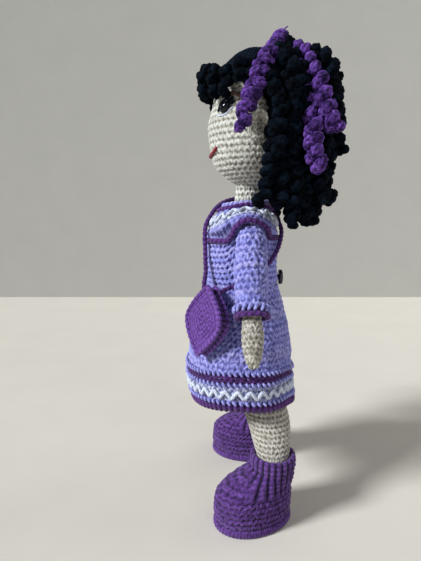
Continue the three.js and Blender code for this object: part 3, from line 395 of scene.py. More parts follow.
def knotted(turn, row, counts, uneven=1.0, fill=0.1):
    """Two round knots to a stitch, one higher than the other, that lean and shift unevenly."""
    height = np.full(np.shape(turn), fill)
    for number, k, a, b in cells(turn, row, counts, 0.5):
        for knot, (x, y) in enumerate(KNOTS):
            u = a - x - 0.2 * uneven * (chance(number, k, knot) - 0.5)
            v = b - y - 0.3 * uneven * (chance(number, k, knot + 4) - 0.5)
            lean = (0.5 - knot) * 0.7 + uneven * (chance(number, k, knot + 8) - 0.5)
            away = ((u - lean * v) / KNOT_WIDTH) ** 2 + (v / KNOT_HEIGHT) ** 2
            size = 1 - 0.3 * uneven * chance(number, k, knot + 12)
            height = np.maximum(height, np.sqrt(np.clip(1 - away, 0, 1)) * size)
    return height


def banded(turn, row, counts):
    """Tight rows that read as level bands with a small dark hole between the stitches."""
    return 0.2 * np.abs(np.sin(np.pi * row)) ** 0.5 + 0.8 * knotted(turn, row, counts, 0.6)


def rough(turn, row, counts):
    """Loose, uneven stitches."""
    return knotted(turn, row, counts, 1.2, fill=0.24)


def roped(count, least=0.0):
    """A shape of slanted strands, as in an edging of slip stitches."""
    def shape(turn, row, counts):
        share = row / row.max()
        phase = turn * count + 0.45 * share
        phase = phase - np.floor(phase)
        bulge = np.sqrt(np.clip(1 - ((phase - 0.5) / 0.52) ** 2, 0, 1))
        lip = np.sin(np.pi * np.clip(share, 0, 1)) ** 0.5
        return least + (1 - least) * bulge * (0.45 + 0.55 * lip)
    return shape


def ribbed(turn, row):
    """Ribs that run up the boot, each a chain of soft bumps."""
    return np.abs(np.cos(np.pi * turn * BOOT_RIBS)) ** 0.8 * (0.82 + 0.18 * np.cos(TAU * row))


def yarn_tone(turn, row, counts, run):
    """A tone that changes slowly along the thread, as in variegated yarn, and a little at each stitch."""
    base = np.clip(np.floor(row).astype(int), 0, len(counts) - 1)
    starts = np.concatenate([[0], np.cumsum(counts)])
    stitch = starts[base] + np.floor(turn * counts[base] + V_LEAN * base)
    slow = 0.5 + 0.5 * np.sin(stitch * TAU / run + 2.1 * np.sin(stitch / 37.0))
    return np.clip(0.75 * slow + 0.35 * chance(stitch) - 0.05, 0, 1)


# How each piece is worked, closed and stuffed. Relief, row, stitch, out and wall are in millimetres.

SOFT_FILL = 0.9
LIMB_FILL = 0.8
BOOT_RIBS = 22
CUFF_STRANDS = 20
HEM_STRANDS = 74
WORK = {
    "head": {"relief": 1.5, "row": 4.9, "stitch": 4.8, "shape": banded, "ends": LAST_END, "fill": SOFT_FILL},
    "cap": {"relief": 1.5, "wall": 4.2, "ends": LAST_END},
    "torso": {"relief": 1.5, "row": 4.6, "stitch": 4.6, "shape": banded, "ends": FIRST_END, "fill": SOFT_FILL},
    "leg": {"relief": 1.3, "row": 4.3, "stitch": 4.2, "shape": banded, "ends": BOTH_ENDS, "fill": SOFT_FILL},
    "boot_upper": {"relief": 2.4, "row": 4.8, "stitch": 4.9, "out": 0.2, "wall": 2.5, "fill": LIMB_FILL},
    "boot_cuff": {"relief": 1.9, "row": 4.0, "out": 1.1},
    "boot_sole": {"relief": 1.5, "ends": BOTH_ENDS},
    "arm": {"relief": 1.9, "row": 3.7, "stitch": 4.4, "shape": rough, "ends": BOTH_ENDS, "fill": LIMB_FILL},
    "sleeve": {"relief": 2.6, "row": 5.0, "stitch": 5.2, "out": -0.3, "run": 31, "shape": rough,
               "ends": LAST_END},
    "sleeve_cuff": {"relief": 1.8, "row": 8.0, "out": -0.6, "wall": 2.0, "fine": (6, 10),
                    "shape": roped(CUFF_STRANDS)},
    "bodice": {"relief": 2.0, "row": 4.8, "stitch": 4.7, "run": 37, "shape": banded},
    "skirt": {"relief": 2.0, "row": 4.7, "stitch": 4.8, "out": -0.6, "run": 43, "shape": rough,
              "white_rows": (1.5, 3.7)},
    "stripe": {"relief": 2.2, "row": 3.5, "stitch": 4.6, "out": 0.5, "wall": 1.6, "shape": rough},
    "hem": {"relief": 2.4, "row": 11.0, "out": 0.9, "wall": 1.0, "fine": (8, 14),
            "shape": roped(HEM_STRANDS)},
    "yoke": {"relief": 2.2, "row": 4.8, "stitch": 4.6, "run": 29, "wall": 2.0, "shape": rough,
             "white_rows": (2.0, 3.9)},
}

# The CAD surfaces, found by rays

RAY_LENGTH = 0.3
TREES = {}


def points_of(node):
    return np.array([v.co for v in NODES[node].data.vertices])


def tree_of(node):
    if node not in TREES:
        mesh = NODES[node].data
        corners = [v.co.copy() for v in mesh.vertices]
        TREES[node] = BVHTree.FromPolygons(corners, [tuple(p.vertices) for p in mesh.polygons])
    return TREES[node]


def reach_of(nodes, centre, direction):
    """How far from the centre the outside of the nodes lies in that direction, or nan."""
    start = centre + direction * RAY_LENGTH
    hits = [tree_of(node).ray_cast(start, -direction, RAY_LENGTH) for node in nodes]
    return max((RAY_LENGTH - hit[3] for hit in hits if hit[0] is not None), default=math.nan)


def filled(reach):
    """Fills what no ray met from its neighbours, round the row first."""
    places = np.arange(reach.shape[1])
    for row in range(len(reach)):
        good = ~np.isnan(reach[row])
        if good.all() or not good.any():
            continue
        known = places[good]
        thrice = np.concatenate([known - len(places), known, known + len(places)])
        reach[row] = np.interp(places, thrice, np.tile(reach[row][good], 3))
    whole = np.where(~np.isnan(reach[:, 0]))[0]
    for row in range(len(reach)):
        if math.isnan(reach[row, 0]):
            reach[row] = reach[whole[np.argmin(np.abs(whole - row))]]
    return reach


def by_rays(nodes, centres, ways, blur):
    """Rows of points where the nodes' outside lies, in the given ways from the centres, smoothed."""
    centres, ways = np.broadcast_arrays(centres, ways)
    reach = np.array([
        [reach_of(nodes, Vector(centre), Vector(way)) for centre, way in zip(*row)]
        for row in zip(centres, ways)
    ])
    reach = smoothed(smoothed(filled(reach), blur[1], 1, True), blur[0], 0, False)
    return centres + ways * reach[:, :, None]


def tube_surface(node, start, end, rows, blur=(1.5, 2.5)):
    """Rows round a straight axis from start to end, which runs upwards on the piece."""
    axis = (end - start).normalized()
    front = (LEVEL_FRONT - axis * LEVEL_FRONT.dot(axis)).normalized()
    left = axis.cross(front).normalized()
    ways = np.outer(np.cos(ROUND), front) + np.outer(np.sin(ROUND), left)
    return by_rays([node], np.linspace(start, end, rows)[:, None], ways, blur)


def stack_surface(node, heights, middles, blur=(1.5, 3.0)):
    """Level rows, each about its own middle."""
    centres = np.column_stack([np.broadcast_to(middles, (len(heights), 2)), heights])
    return by_rays([node], centres[:, None], LEVEL_WAYS, blur)


def ring_surface(nodes, low, high, centre, rows, blur=(1.0, 2.5)):
    """Rows between two edges, each a height at every angle round an upright axis."""
    centres = np.empty((rows, STEP_ROUND, 3))
    centres[:, :, :2] = centre.xy
    centres[:, :, 2] = low + (high - low) * np.linspace(0, 1, rows)[:, None]
    return by_rays(nodes, centres, LEVEL_WAYS, blur)


def dome_surface(nodes, centre, low, high, rows, blur=(1.2, 2.5)):
    """Rows of rays out of one centre, between two elevations at each angle."""
    tilt = low + (high - low) * np.linspace(0, 1, rows)[:, None]
    tilt = np.broadcast_to(tilt, (rows, STEP_ROUND))[:, :, None]
    ways = LEVEL_WAYS * np.cos(tilt) + np.array((0, 0, 1.0)) * np.sin(tilt)
    return by_rays(nodes, np.array(centre), ways, blur)


def edge_of(node, centre, upper):
    """The height of a CAD ring's lower or upper edge at each angle round the centre."""
    co = points_of(node)
    flat = co[:, :2] - np.array(centre.xy)
    angle = np.arctan2(flat[:, 0], -flat[:, 1]) % TAU
    height = np.empty(STEP_ROUND)
    for j, way in enumerate(ROUND):
        away = np.abs((angle - way + math.pi) % TAU - math.pi)
        near = co[away < max(math.radians(12), away.min() + math.radians(2)), 2]
        height[j] = near.max() if upper else near.min()
    return smoothed(height, 3, 0, True)


# Crochet over a surface of rows

def by_arc(surface, count):
    """The surface with its rows at equal steps along its mean profile."""
    steps = np.linalg.norm(np.diff(surface, axis=0), axis=2).mean(1)
    length = np.concatenate([[0], np.cumsum(steps)])
    places = np.linspace(0, length[-1], count)
    index = np.clip(np.searchsorted(length, places, side="right") - 1, 0, len(length) - 2)
    share = (places - length[index]) / np.maximum(length[index + 1] - length[index], 1e-12)
    share = share[:, None, None]
    return surface[index] * (1 - share) + surface[index + 1] * share, length[-1]


def crochet(name, surface, material, body, *nodes, fill=None, relief=1.0, row=4.2, stitch=4.6, out=0.0,
            wall=0.0, run=23, shape=v_stitches, ends=(), fine=(6, 6), white_rows=None, lowest=-math.inf):
    """A crocheted piece over the surface, in no part below the lowest height.

    shape gives its heights, ends are the rows that a middle point closes, white_rows are worked in white,
    and fine has the points in a stitch and in a row.
    """
    rows = max(int(round(by_arc(surface, 8)[1] / (row * MM))), 1)
    grid, _ = by_arc(surface, rows * fine[1] + 1)
    girth = np.linalg.norm(np.roll(grid, -1, 1) - grid, axis=2).sum(1)
    middles = [min(int((k + 0.5) * fine[1]), len(grid) - 1) for k in range(rows)]
    counts = np.array([max(int(round(girth[k] / (stitch * MM))), 5) for k in middles])
    sides = int(counts.max()) * fine[0]
    grid = resampled(grid, sides)
    normal = normals_of(grid)
    turn = np.broadcast_to((np.arange(sides) / sides)[None, :], grid.shape[:2])
    level = np.broadcast_to((np.arange(len(grid)) / fine[1])[:, None], grid.shape[:2])
    height = shape(turn, level, counts)
    points = grid + normal * (out * MM + (height - 0.75) * relief * MM)[:, :, None]
    # proud is the stitch height; where it is low the material paints shade between the stitches
    layers = {"proud": height, "tone": yarn_tone(turn, level, counts, run)}
    if white_rows:
        middle, half = sum(white_rows) / 2, (white_rows[1] - white_rows[0]) / 2
        layers["white"] = np.clip(1.6 * (1.25 - np.abs(level - middle) / half), 0, 1)
    if wall:
        inner = grid - normal * wall * MM
        points = np.concatenate([inner[:1], points, inner[-1:]])
        # The inner rows are darker, at 0.6 of the edge rows' values: painted shade inside the wall's edges
        layers = {key: np.concatenate([v[:1] * 0.6, v, v[-1:] * 0.6]) for key, v in layers.items()}
    points, layers, faces = closed(points, layers, ends)
    points[:, 2] = np.maximum(points[:, 2], lowest)
    sewn(link_mesh(name, points, faces, layers, material), body, material, *nodes, fill=fill)


# Tubes along a line, for curls, threads and cords

CURVE_STEPS = 24


def line_through(points, step):
    """Points at equal steps along a smooth curve through the given points."""
    points = [np.array(p, float) for p in points]
    guide = [2 * points[0] - points[1], *points, 2 * points[-1] - points[-2]]
    line = []
    for p0, p1, p2, p3 in zip(guide, guide[1:], guide[2:], guide[3:]):
        for t in np.linspace(0, 1, CURVE_STEPS, endpoint=False):
            bend = (2 * p0 - 5 * p1 + 4 * p2 - p3) * t**2 + (3 * p1 - p0 - 3 * p2 + p3) * t**3
            line.append(0.5 * (2 * p1 + (p2 - p0) * t + bend))
    line = np.array([*line, points[-1]])
    length = arc_lengths(line)
    count = max(int(round(length[-1] / step)), 2) + 1
    return interpolated(np.linspace(0, length[-1], count), length, line), length[-1]


def frames_along(line):
    """Two sides at each point of a line, turning as little as they can."""
    tangent = np.gradient(line, axis=0)
    tangent /= np.linalg.norm(tangent, axis=1, keepdims=True)
    side = np.empty_like(line)
    start = np.array([0, 0, 1.0]) if abs(tangent[0][2]) < 0.8 else np.array([1.0, 0, 0])
    current = np.cross(tangent[0], start)
    for i in range(len(line)):
        current = current - tangent[i] * np.dot(current, tangent[i])
        current /= np.linalg.norm(current)
        side[i] = current
    return side, np.cross(tangent, side)


def tube_grid(line, radius):
    """Rows of points round a line, with a radius for each point."""
    side, other = frames_along(line)
    turn = np.arange(radius.shape[1]) * TAU / radius.shape[1]
    ring = side[:, None, :] * np.cos(turn)[None, :, None] + other[:, None, :] * np.sin(turn)[None, :, None]
    return line[:, None, :] + ring * radius[:, :, None]


def rounded_end(along, run, reach):
    """A share of the radius that falls to nearly nothing at both ends, and the way to them."""
    end = np.clip(np.minimum(along, run - along) / reach, 0.02, 1)
    return np.sqrt(1 - (1 - end) ** 2), end


def turns_round(count, rows):
    return np.broadcast_to((np.arange(count) / count)[None, :], (rows, count))


CURL_TUBE = 4.3 * MM
CURL_COIL = 3.0 * MM
CURL_PITCH = 10.6 * MM
CURL_GUIDE_STEP = 0.5 * MM
CURL_FORM = {"sides": 20, "step": 0.95 * MM, "row": 3.5 * MM, "strands": 4, "relief": 2.2 * MM}
FINE_CURL = {"sides": 34, "step": 0.6 * MM, "row": 2.9 * MM, "strands": 6, "relief": 1.9 * MM}
LEAST_RADIUS = 0.05 * MM


def corkscrew(points, tube=CURL_TUBE, coil=CURL_COIL, pitch=CURL_PITCH, start_turn=0.0, form=CURL_FORM):
    """A crocheted curl: a fat stitched tube that winds round its guide in knobbly lobes."""
    guide, length = line_through(points, CURL_GUIDE_STEP)
    side, other = frames_along(guide)
    place = np.linspace(0, length, len(guide))
    turns = place / pitch + start_turn + 0.2 * np.sin(place / (0.9 * pitch) + 9 * start_turn)
    ease = np.clip(np.minimum(place, length - place) / (0.7 * pitch), 0, 1) ** 0.5
    swing = coil * ease * (1 + 0.25 * np.sin(place / (1.3 * pitch) + 5 * start_turn))
    around = side * np.cos(TAU * turns)[:, None] + other * np.sin(TAU * turns)[:, None]
    line, run = line_through((guide + swing[:, None] * around)[::6], form["step"])
    along = np.linspace(0, run, len(line))
    at_turn = np.interp(along, np.linspace(0, run, len(turns)), turns)
    turn = turns_round(form["sides"], len(line))
    level = np.broadcast_to((along / form["row"])[:, None], turn.shape)
    counts = np.full(int(level.max()) + 2, form["strands"])
    height = knotted(turn, level, counts, 1.4, fill=0.3)
    knob = chance(np.floor(2 * at_turn), round(1000 * start_turn))
    lobe = np.abs(np.sin(TAU * at_turn)) ** 0.7
    fall, end = rounded_end(along, run, 1.3 * tube)
    radius = tube * (0.80 + 0.26 * lobe * (0.6 + 0.4 * knob)) * fall
    radius = radius[:, None] + (height - 0.6) * form["relief"] * end[:, None]
    tone = yarn_tone(turn, level, counts, 17)
    grid = tube_grid(line, np.maximum(radius, LEAST_RADIUS))
    # proud is lower between the lobes: painted shade in the necks of the curl
    return grid, {"proud": height * (0.35 + 0.65 * lobe[:, None]), "tone": tone}


def thread(points, radius, step=0.8 * MM, sides=10, twist=2.2 * MM, taper=True):
    """An embroidery or yarn thread with its ply twist."""
    line, length = line_through(points, step)
    along = np.linspace(0, length, len(line))
    ply = np.abs(np.cos(math.pi * (turns_round(sides, len(line)) * 3 + (along / twist)[:, None])))
    fall = rounded_end(along, length, 1.5 * radius)[0] if taper else np.ones(len(line))
    width = radius * fall[:, None] * (0.86 + 0.14 * ply)
    # proud falls in the ply grooves: painted shade between the plies
    return tube_grid(line, width), {"proud": 0.35 + 0.65 * ply, "tone": np.full(ply.shape, 0.5)}


def beaded(points, radius, bead, sides=12):
    """A closed or open rope of beads, one to a stitch."""
    line, length = line_through(points, bead / 8)
    along = np.linspace(0, length, len(line))[:, None]
    slant = 0.6 * np.sin(TAU * turns_round(sides, len(line)))
    bulge = np.abs(np.sin(math.pi * along / bead + slant)) ** 0.6
    tone = np.broadcast_to(0.5 + 0.5 * np.sin(along / (6 * bead)), bulge.shape)
    # proud falls between the beads: painted shade in the grooves
    return tube_grid(line, radius * (0.66 + 0.36 * bulge)), {"proud": 0.15 + 0.85 * bulge, "tone": tone}


# Head and face. Tables of places hold (degrees from the front, millimetres up) pairs.

HEAD_AXIS_Y = 3.4
HEAD_CENTRE = at(0, HEAD_AXIS_Y, 329)
HEAD_LOW = -1.32
NEAR_TOP = QUARTER * 0.985
LEAN_STEP = 4 * MM

head_surface = dome_surface(["head_skin"], HEAD_CENTRE, HEAD_LOW, NEAR_TOP, rows=90, blur=(1.6, 3.0))
crochet("head_skin_yarn", head_surface, "skin", "head", "head_skin", **WORK["head"])


def on_head(height, angle_deg, out=0.0):
    """A point on the head's surface at a height and an angle, moved outwards, and the direction out."""
    centre = Vector((0, HEAD_CENTRE.y, height * MM))
    step = Vector((0, 0, LEAN_STEP))
    way = turned(math.radians(angle_deg))
    reach = reach_of(["head_skin"], centre, way)
    fall = reach_of(["head_skin"], centre - step, way) - reach_of(["head_skin"], centre + step, way)
    lean = math.atan2(fall, 2 * LEAN_STEP)
    out_way = way * math.cos(lean) + Vector((0, 0, math.sin(lean)))
    return centre + way * reach + out_way * out, out_way


def face_thread(places, radius, out=1.0):
    """A thread on the face through (angle, height) pairs, in degrees and millimetres."""
    return thread([on_head(height, angle, out * MM)[0] for angle, height in places], radius * MM)


EYE_RADIUS = 4.4 * MM
EYE_DEPTH = 3.3 * MM
EYE_SUNK = 0.9 * MM
EYE_DROP = 1.0 * MM
EYE_STRETCH = 1.14
EYE_SQUEEZE = 0.9
EYE_SIDES = 32
EYE_DEG = 46
EYE_Z = 338.9
EYE_RIM = ((-10, -5.4), (-5, -6.4), (1, -6.4), (6, -4.8), (11, -2.4), (14, -1.6))
UPPER_LID = ((-9, -3.8), (-8.5, 0.2), (-4.5, 3.8), (1, 5.2), (6, 4.8), (9.5, 3.4))
LASHES = (((6, 2.8), (10, 4.6), (14, 5.6)), ((9, 0.4), (12.5, 1.8), (16, 2.2)))
BROW = ((52, 348.2), (59, 347.8), (69, 344.4))
SMILE = ((-33, 309.4), (-20, 306.0), (0, 304.4), (20, 306.0), (33, 309.4))


def eye_dome(side):
    """The glossy dome, a slanted oval on the axis that its washer has."""
    washer = points_of(side + "_eye_washer")
    middle = washer.mean(0)
    out_way = Vector(np.linalg.svd(washer - middle)[2][2])
    if out_way.dot(Vector(middle) - HEAD_CENTRE) < 0:
        out_way = -out_way
    top = float(((points_of(side + "_eye") - middle) @ np.array(out_way)).max())
    cross = out_way.cross(Vector((0, 0, 1))).normalized()
    upward = cross.cross(out_way).normalized()
    base = Vector(middle) + out_way * (top - EYE_DEPTH) - upward * EYE_DROP
    backward = cross if cross.y > 0 else -cross
    long_way = (upward + backward).normalized() * EYE_STRETCH
    short_way = (upward - backward).normalized() * EYE_SQUEEZE
    turns = np.linspace(0, QUARTER, 14)[:-1]
    profile = [(EYE_RADIUS * 0.9, -EYE_SUNK)]
    profile += [(EYE_RADIUS * math.cos(t), EYE_DEPTH * math.sin(t)) for t in turns]
    angles = np.arange(EYE_SIDES) * TAU / EYE_SIDES
    ring = [long_way * math.sin(a) + short_way * math.cos(a) for a in angles]
    grid = np.array([[base + way * r + out_way * h for way in ring] for r, h in profile])
    parts = [(grid, {"proud": np.ones(grid.shape[:2])})]
    gathered(side + "_eye_dome", parts, "gloss", "head", side + "_eye")


for side, sign in SIDES:
    eye_dome(side)

    def near_eye(pairs, radius, out=1.0):
        return face_thread([(sign * (EYE_DEG + turn), EYE_Z + rise) for turn, rise in pairs], radius, out)

    gathered(side + "_eye_white", [near_eye(EYE_RIM, 0.8, 0.3)], "white", "head")
    hairs = [near_eye(UPPER_LID, 0.9), *(near_eye(lash, 1.2, 1.4) for lash in LASHES)]
    gathered(side + "_lash_thread", hairs, "black", "head", side + "_lashes")
    brow = face_thread([(sign * angle, height) for angle, height in BROW], 1.5)
    gathered(side + "_brow_thread", [brow], "brown", "head", side + "_eyebrow")

gathered("mouth_thread", [face_thread(SMILE, 1.5, 0.7)], "red", "head", "mouth")

EAR_SHARES = [0, 0.3, 0.5, 0.66, 0.8, 0.93, 1.0]
EAR_RISE = [3.4, 3.6, 4.8, 8.2, 8.8, 6.2, -0.8]
# Painted light for each ring of the ear: shade in the hollow and round its outer edge
EAR_PAINTED_LIGHT = [0.6, 0.62, 0.75, 1.0, 1.0, 0.85, 0.35]
EAR_COUNTS = np.array([6, 10, 13, 15])
EAR_RINGS = 3.4
EAR_SIDES = 84
EAR_STEPS = 34
EAR_SCALE = 1.2
EAR_DROP = 2.2
EAR_DEG = 89
EAR_FOLD = 2.6
EAR_RELIEF = 3.0
EAR_HALF_DEPTH_SHARE = 0.56


def ear(side, sign):
    """A cupped lobe of crochet rounds, with a raised rim about a hollow and a fold inside it."""
    low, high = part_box(side + "_ear")
    centre, out_way = on_head((low.z + high.z) / 2 / MM - EAR_DROP, sign * EAR_DEG)
    along = (Vector((0, 1, 0)) - out_way * out_way.y).normalized()
    upward = out_way.cross(along).normalized()
    upward = upward if upward.z > 0 else -upward
    angle = np.arange(EAR_SIDES) * TAU / EAR_SIDES * sign
    share = np.linspace(1.0, 0.02, EAR_STEPS)[:, None]
    turn = turns_round(EAR_SIDES, EAR_STEPS)
    height = rough(turn, np.broadcast_to(share * EAR_RINGS, turn.shape), EAR_COUNTS)
    waves = 1 + 0.16 * np.sin(angle + 0.6) + 0.10 * np.sin(3 * angle)
    fold = EAR_FOLD * np.exp(-(((np.cos(angle) * share + 0.28) / 0.15) ** 2)) * (share < 0.75)
    lift = (np.interp(share, EAR_SHARES, EAR_RISE) * waves + fold + (height - 0.6) * EAR_RELIEF) * MM
    half_depth = (high.y - low.y) * EAR_HALF_DEPTH_SHARE * EAR_SCALE
    half_height = (high.z - low.z) / 2 * EAR_SCALE
    points = np.array(centre) + np.array(out_way) * lift[:, :, None]
    points += np.array(along) * (np.cos(angle) * share * half_depth)[:, :, None]
    points += np.array(upward) * (np.sin(angle) * share * half_height)[:, :, None]
    # Painted shade in the hollow and round the outer edge, and a little painted light on the fold
    proud = np.clip(height * np.interp(share, EAR_SHARES, EAR_PAINTED_LIGHT) + 0.1 * fold, 0, 1)
    layers = {"proud": proud, "tone": np.full(turn.shape, 0.6)}
    gathered(side + "_ear_yarn", [(points, layers)], "skin", "head", side + "_ear")


for side, sign in SIDES:
    ear(side, sign)

# Hair cap

CAP_FROM = math.radians(75)
CAP_TO = math.radians(-60)
CAP_STEP = math.radians(1.5)


def cap_edge(angle):
    """The lowest elevation at which a ray still meets the cap."""
    tilt = CAP_FROM
    while tilt > CAP_TO:
        ray = turned(angle) * math.cos(tilt) + Vector((0, 0, math.sin(tilt)))
        if math.isnan(reach_of(["hair_cap"], HEAD_CENTRE, ray)):
            break
        tilt -= CAP_STEP
    return tilt + CAP_STEP


cap_low = smoothed(np.array([cap_edge(angle) for angle in ROUND]), 1.2, 0, True)
cap_surface = dome_surface(["hair_cap"], HEAD_CENTRE, cap_low, NEAR_TOP, rows=70)
crochet("hair_cap_yarn", cap_surface, "black", "head", "hair_cap", **WORK["cap"])


# Curls: each guide is a list of (reach, height) pairs at an angle round the head, in millimetres and degrees

WANDER = 3.4


def polar(deg, reach, z):
    angle = math.radians(deg)
    return np.array(at(reach * math.sin(angle), HEAD_AXIS_Y - reach * math.cos(angle), z))


def lock_guide(deg, pairs, drift=0.0, wander=WANDER):
    """A guide down the pairs, drifting round the head towards its tip and wandering a little."""
    points = []
    for i, (reach, z) in enumerate(pairs):
        share = i / (len(pairs) - 1)
        stray = rng.uniform(-wander, wander, 3) * min(1, i)
        points.append(polar(deg + drift * share + stray[0], reach + 0.6 * stray[1], z + stray[2]))
    return points


def curls(name, guides, *nodes, **shape):
    parts = [corkscrew(guide, start_turn=rng.random(), **shape) for guide in guides]
    gathered(name, parts, "black", "head", *nodes)


def mirrored(*rows):
    """Guides on the left and then on the right, from rows of angles, pairs, drift and wander."""
    return [
        lock_guide(mirror * deg, pairs, mirror * drift, wander)
        for _, mirror in SIDES
        for degrees, pairs, drift, wander in rows
        for deg in degrees
    ]


BACK_SHORT = [(28, 374), (48, 377), (62, 367), (65, 352), (65, 338), (71, 331)]
BACK_MIDDLE = [(34, 366), (54, 366), (64, 348), (67, 328), (70, 312), (77, 308)]
BACK_LONG = [(42, 350), (57, 344), (61, 320), (61, 296), (60, 276), (68, 264)]
CROWN = [(22, 379), (33, 378), (44, 366), (49, 350), (50, 335), (55, 327)]
SIDE_MIDDLE = [(40, 358), (49, 352), (52, 332), (53, 312), (58, 298)]
SIDE_LONG = [(44, 336), (49, 325), (50, 305), (50, 286), (49, 270), (50, 259)]
SIDE_LOW = [(44, 326), (50, 312), (51, 290), (51, 270), (53, 256), (56, 249)]
NAPE = [(40, 318), (44, 308), (43, 292), (41, 276), (42, 264)]
NAPE_INSIDE = [(38, 316), (36, 304), (32, 290), (30, 277), (32, 266)]
CROWN_TOP = [(14, 380), (20, 386), (30, 386), (40, 378), (48, 366)]
TEMPLE_LONG = [(30, 374), (37, 367), (41, 356), (42, 344), (44, 334)]
TEMPLE_SHORT = [(33, 370), (38, 365), (42, 357), (43, 349)]
CROWN_SIDE = [(20, 379), (29, 377), (39, 368), (47, 354)]
FRINGE_MIDDLE = [(32, 369), (39, 371), (44, 365), (43, 356), (39, 348)]
FRINGE_INNER = [(36, 367), (42, 364), (43, 356), (39, 346)]
FRINGE_OUTER = [(37, 365), (42, 360), (43, 351), (42, 342)]
FRINGE_SIDE = [(38, 368), (43, 364), (45, 358), (45, 352)]

outer = []
for deg in (152, 166, 180, 194, 208):
    outer.append(lock_guide(deg, BACK_SHORT, 4 * math.copysign(1, deg - 180.5)))
    outer.append(lock_guide(deg + 7, BACK_MIDDLE, 5))
    outer.append(lock_guide(deg - 5, BACK_LONG, -4))
for deg in (119, 131, 143):
    outer.append(lock_guide(deg, CROWN, 4))
    outer.append(lock_guide(-deg, CROWN, -4))
curls("black_curls_outer_yarn", outer, "black_curls_outer")

inner = mirrored(
    ((101, 116, 131, 146), SIDE_MIDDLE, 4, WANDER),
    ((108, 122), SIDE_LONG, -19, WANDER),
    ((119, 135, 150, 165), SIDE_LOW, 2, WANDER),
)
curls("black_curls_inner_yarn", inner, "black_curls_inner")

nape = mirrored(
    ((106, 114, 127, 143, 160, 177), NAPE, 2, 1.2),
    ((122, 138, 155, 171), NAPE_INSIDE, 0, 1.2),
    ((150,), CROWN_TOP, 0, 1.0),
)
nape.append(lock_guide(180, CROWN_TOP, 0, 1.0))
curls("black_curls_nape_yarn", nape)

temple = mirrored(
    ((98,), TEMPLE_LONG, 2, 1.0),
    ((80,), TEMPLE_SHORT, 1, 0.6),
    ((121, 136), CROWN_SIDE, 3, 1.5),
)
fringe = [lock_guide(deg, FRINGE_MIDDLE, 0, 1.5) for deg in (0, 17, -17)]
fringe += mirrored(
    ((35,), FRINGE_INNER, 0, 1.2),
    ((53,), FRINGE_OUTER, 0, 0.8),
    ((70,), FRINGE_SIDE, 0, 1.0),
)
FRINGE_CURL = {"tube": 3.7 * MM, "coil": 2.4 * MM, "pitch": 9.4 * MM}
curls("fringe_curls_yarn", fringe + temple, "fringe_curls", **FRINGE_CURL)

# Purple curls, through points of the doll's own millimetres on its left side
PURPLE_GUIDES = {
    "purple_curl_front": [
        (-3, 25, 398), (9, 23.2, 394.3), (24, 15.0, 381.5), (35, 7.7, 370.2), (43, 3.1, 358.7),
        (46, -0.9, 348.1), (51, -5.5, 336.8), (54, -9.4, 326.8), (55, -10.2, 318.4), (55, -10.4, 313),
    ],
    "purple_curl_middle": [
        (13, 34, 384), (22, 38.0, 381.5), (30, 42.9, 369.6), (39, 47.5, 355.6),
        (46, 48.9, 341.2), (50, 52.7, 329.0), (53, 56.6, 320.0), (54, 59, 315),
    ],
    "purple_curl_back": [
        (26, 30, 368), (30, 39.2, 362.7), (34, 39.8, 348.7), (41, 41.8, 334.6),
        (49, 42.3, 319.6), (54, 42.2, 303.5), (55, 47.2, 290.0), (56, 48.5, 287),
    ],
}
TAIL = [(-3, 25, 398), (-5, 26, 402), (-4, 29, 405)]
TAIL_RADIUS = 0.6 * MM
PURPLE_TUBE = 4.6 * MM
for key, points in PURPLE_GUIDES.items():
    for side, sign in SIDES:
        guide = [at(sign * x, y, z) for x, y, z in points]
        parts = [corkscrew(guide, start_turn=0.2 + 0.3 * sign, tube=PURPLE_TUBE, form=FINE_CURL)]
        if key == "purple_curl_front":
            parts.append(thread([at(sign * x, y, z) for x, y, z in TAIL], TAIL_RADIUS))
        gathered(side + "_" + key + "_yarn", parts, "plum", "head", side + "_" + key)

# Neck and body. What the dress hides is slimmer than the solid, so that it stays under the yarn.

UNDER_DRESS = 0.94
NECK_ENDS = (at(0, 0.5, 262), at(0, 0.5, 281.5))
BODY_ENDS = (at(0, -5, 149), at(0, -5, 261))
neck_surface = tube_surface("torso_skin", *NECK_ENDS, rows=20)
body_surface = slimmed(tube_surface("torso_skin", *BODY_ENDS, rows=50), UNDER_DRESS)
torso_surface = np.concatenate([body_surface[:-2], neck_surface[1:]])
crochet("torso_yarn", torso_surface, "skin", "body", "torso_skin", **WORK["torso"])

# Legs and boots


def slice_middle(node, z):
    """The middle of a node's section at a height."""
    ends = np.array([tuple(edge.vertices) for edge in NODES[node].data.edges])
    a, b = points_of(node)[ends.T]
    cut = ((a[:, 2] - z) * (b[:, 2] - z) <= 0) & (a[:, 2] != b[:, 2])
    a, b = a[cut], b[cut]
    hits = a + (b - a) * ((z - a[:, 2]) / (b[:, 2] - a[:, 2]))[:, None]
    return (hits[:, :2].min(0) + hits[:, :2].max(0)) / 2


LEG_ROWS = 56
LEG_INSET = 1 * MM


def leg(side):
    node = side + "_leg_skin"
    low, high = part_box(node)
    heights = np.linspace(low.z + LEG_INSET, high.z - LEG_INSET, LEG_ROWS)
    middles = smoothed(np.array([slice_middle(node, z) for z in heights]), 3, 0, False)
    surface = stack_surface(node, heights, middles)
    crochet(side + "_leg_yarn", surface, "limb", "body", node, **WORK["leg"])


RIB_SHAFT = 16.8 * MM
RIB_FADE = 5 * MM
INSTEP = 25 * MM
INSTEP_FADE = 9 * MM
UPPER_RIM = ((0.95, 0.88, 0.80, 0.72), (0.8, 1.8, 3.0, 3.4))
CUFF_UNDER = ((0.9, 0.96, 1.0, 1.0), (-11.0, -7.5, -4.5, -2.0))
CUFF_OVER = ((0.97, 0.9, 0.84, 0.80), (0.8, 0.9, 0.2, -1.6))
SOLE_UNDER_SHARES = (0.05, 0.3, 0.55, 0.8, 0.93, 0.98)
SOLE_OVER_SHARES = (0.98, 0.93, 0.86)
SOLE_LOW_ROUND = 0.9 * MM
SOLE_HIGH_ROUND = 0.5 * MM
SOLE_STITCH = 2.7 * MM
SOLE_LEAST = 0.25


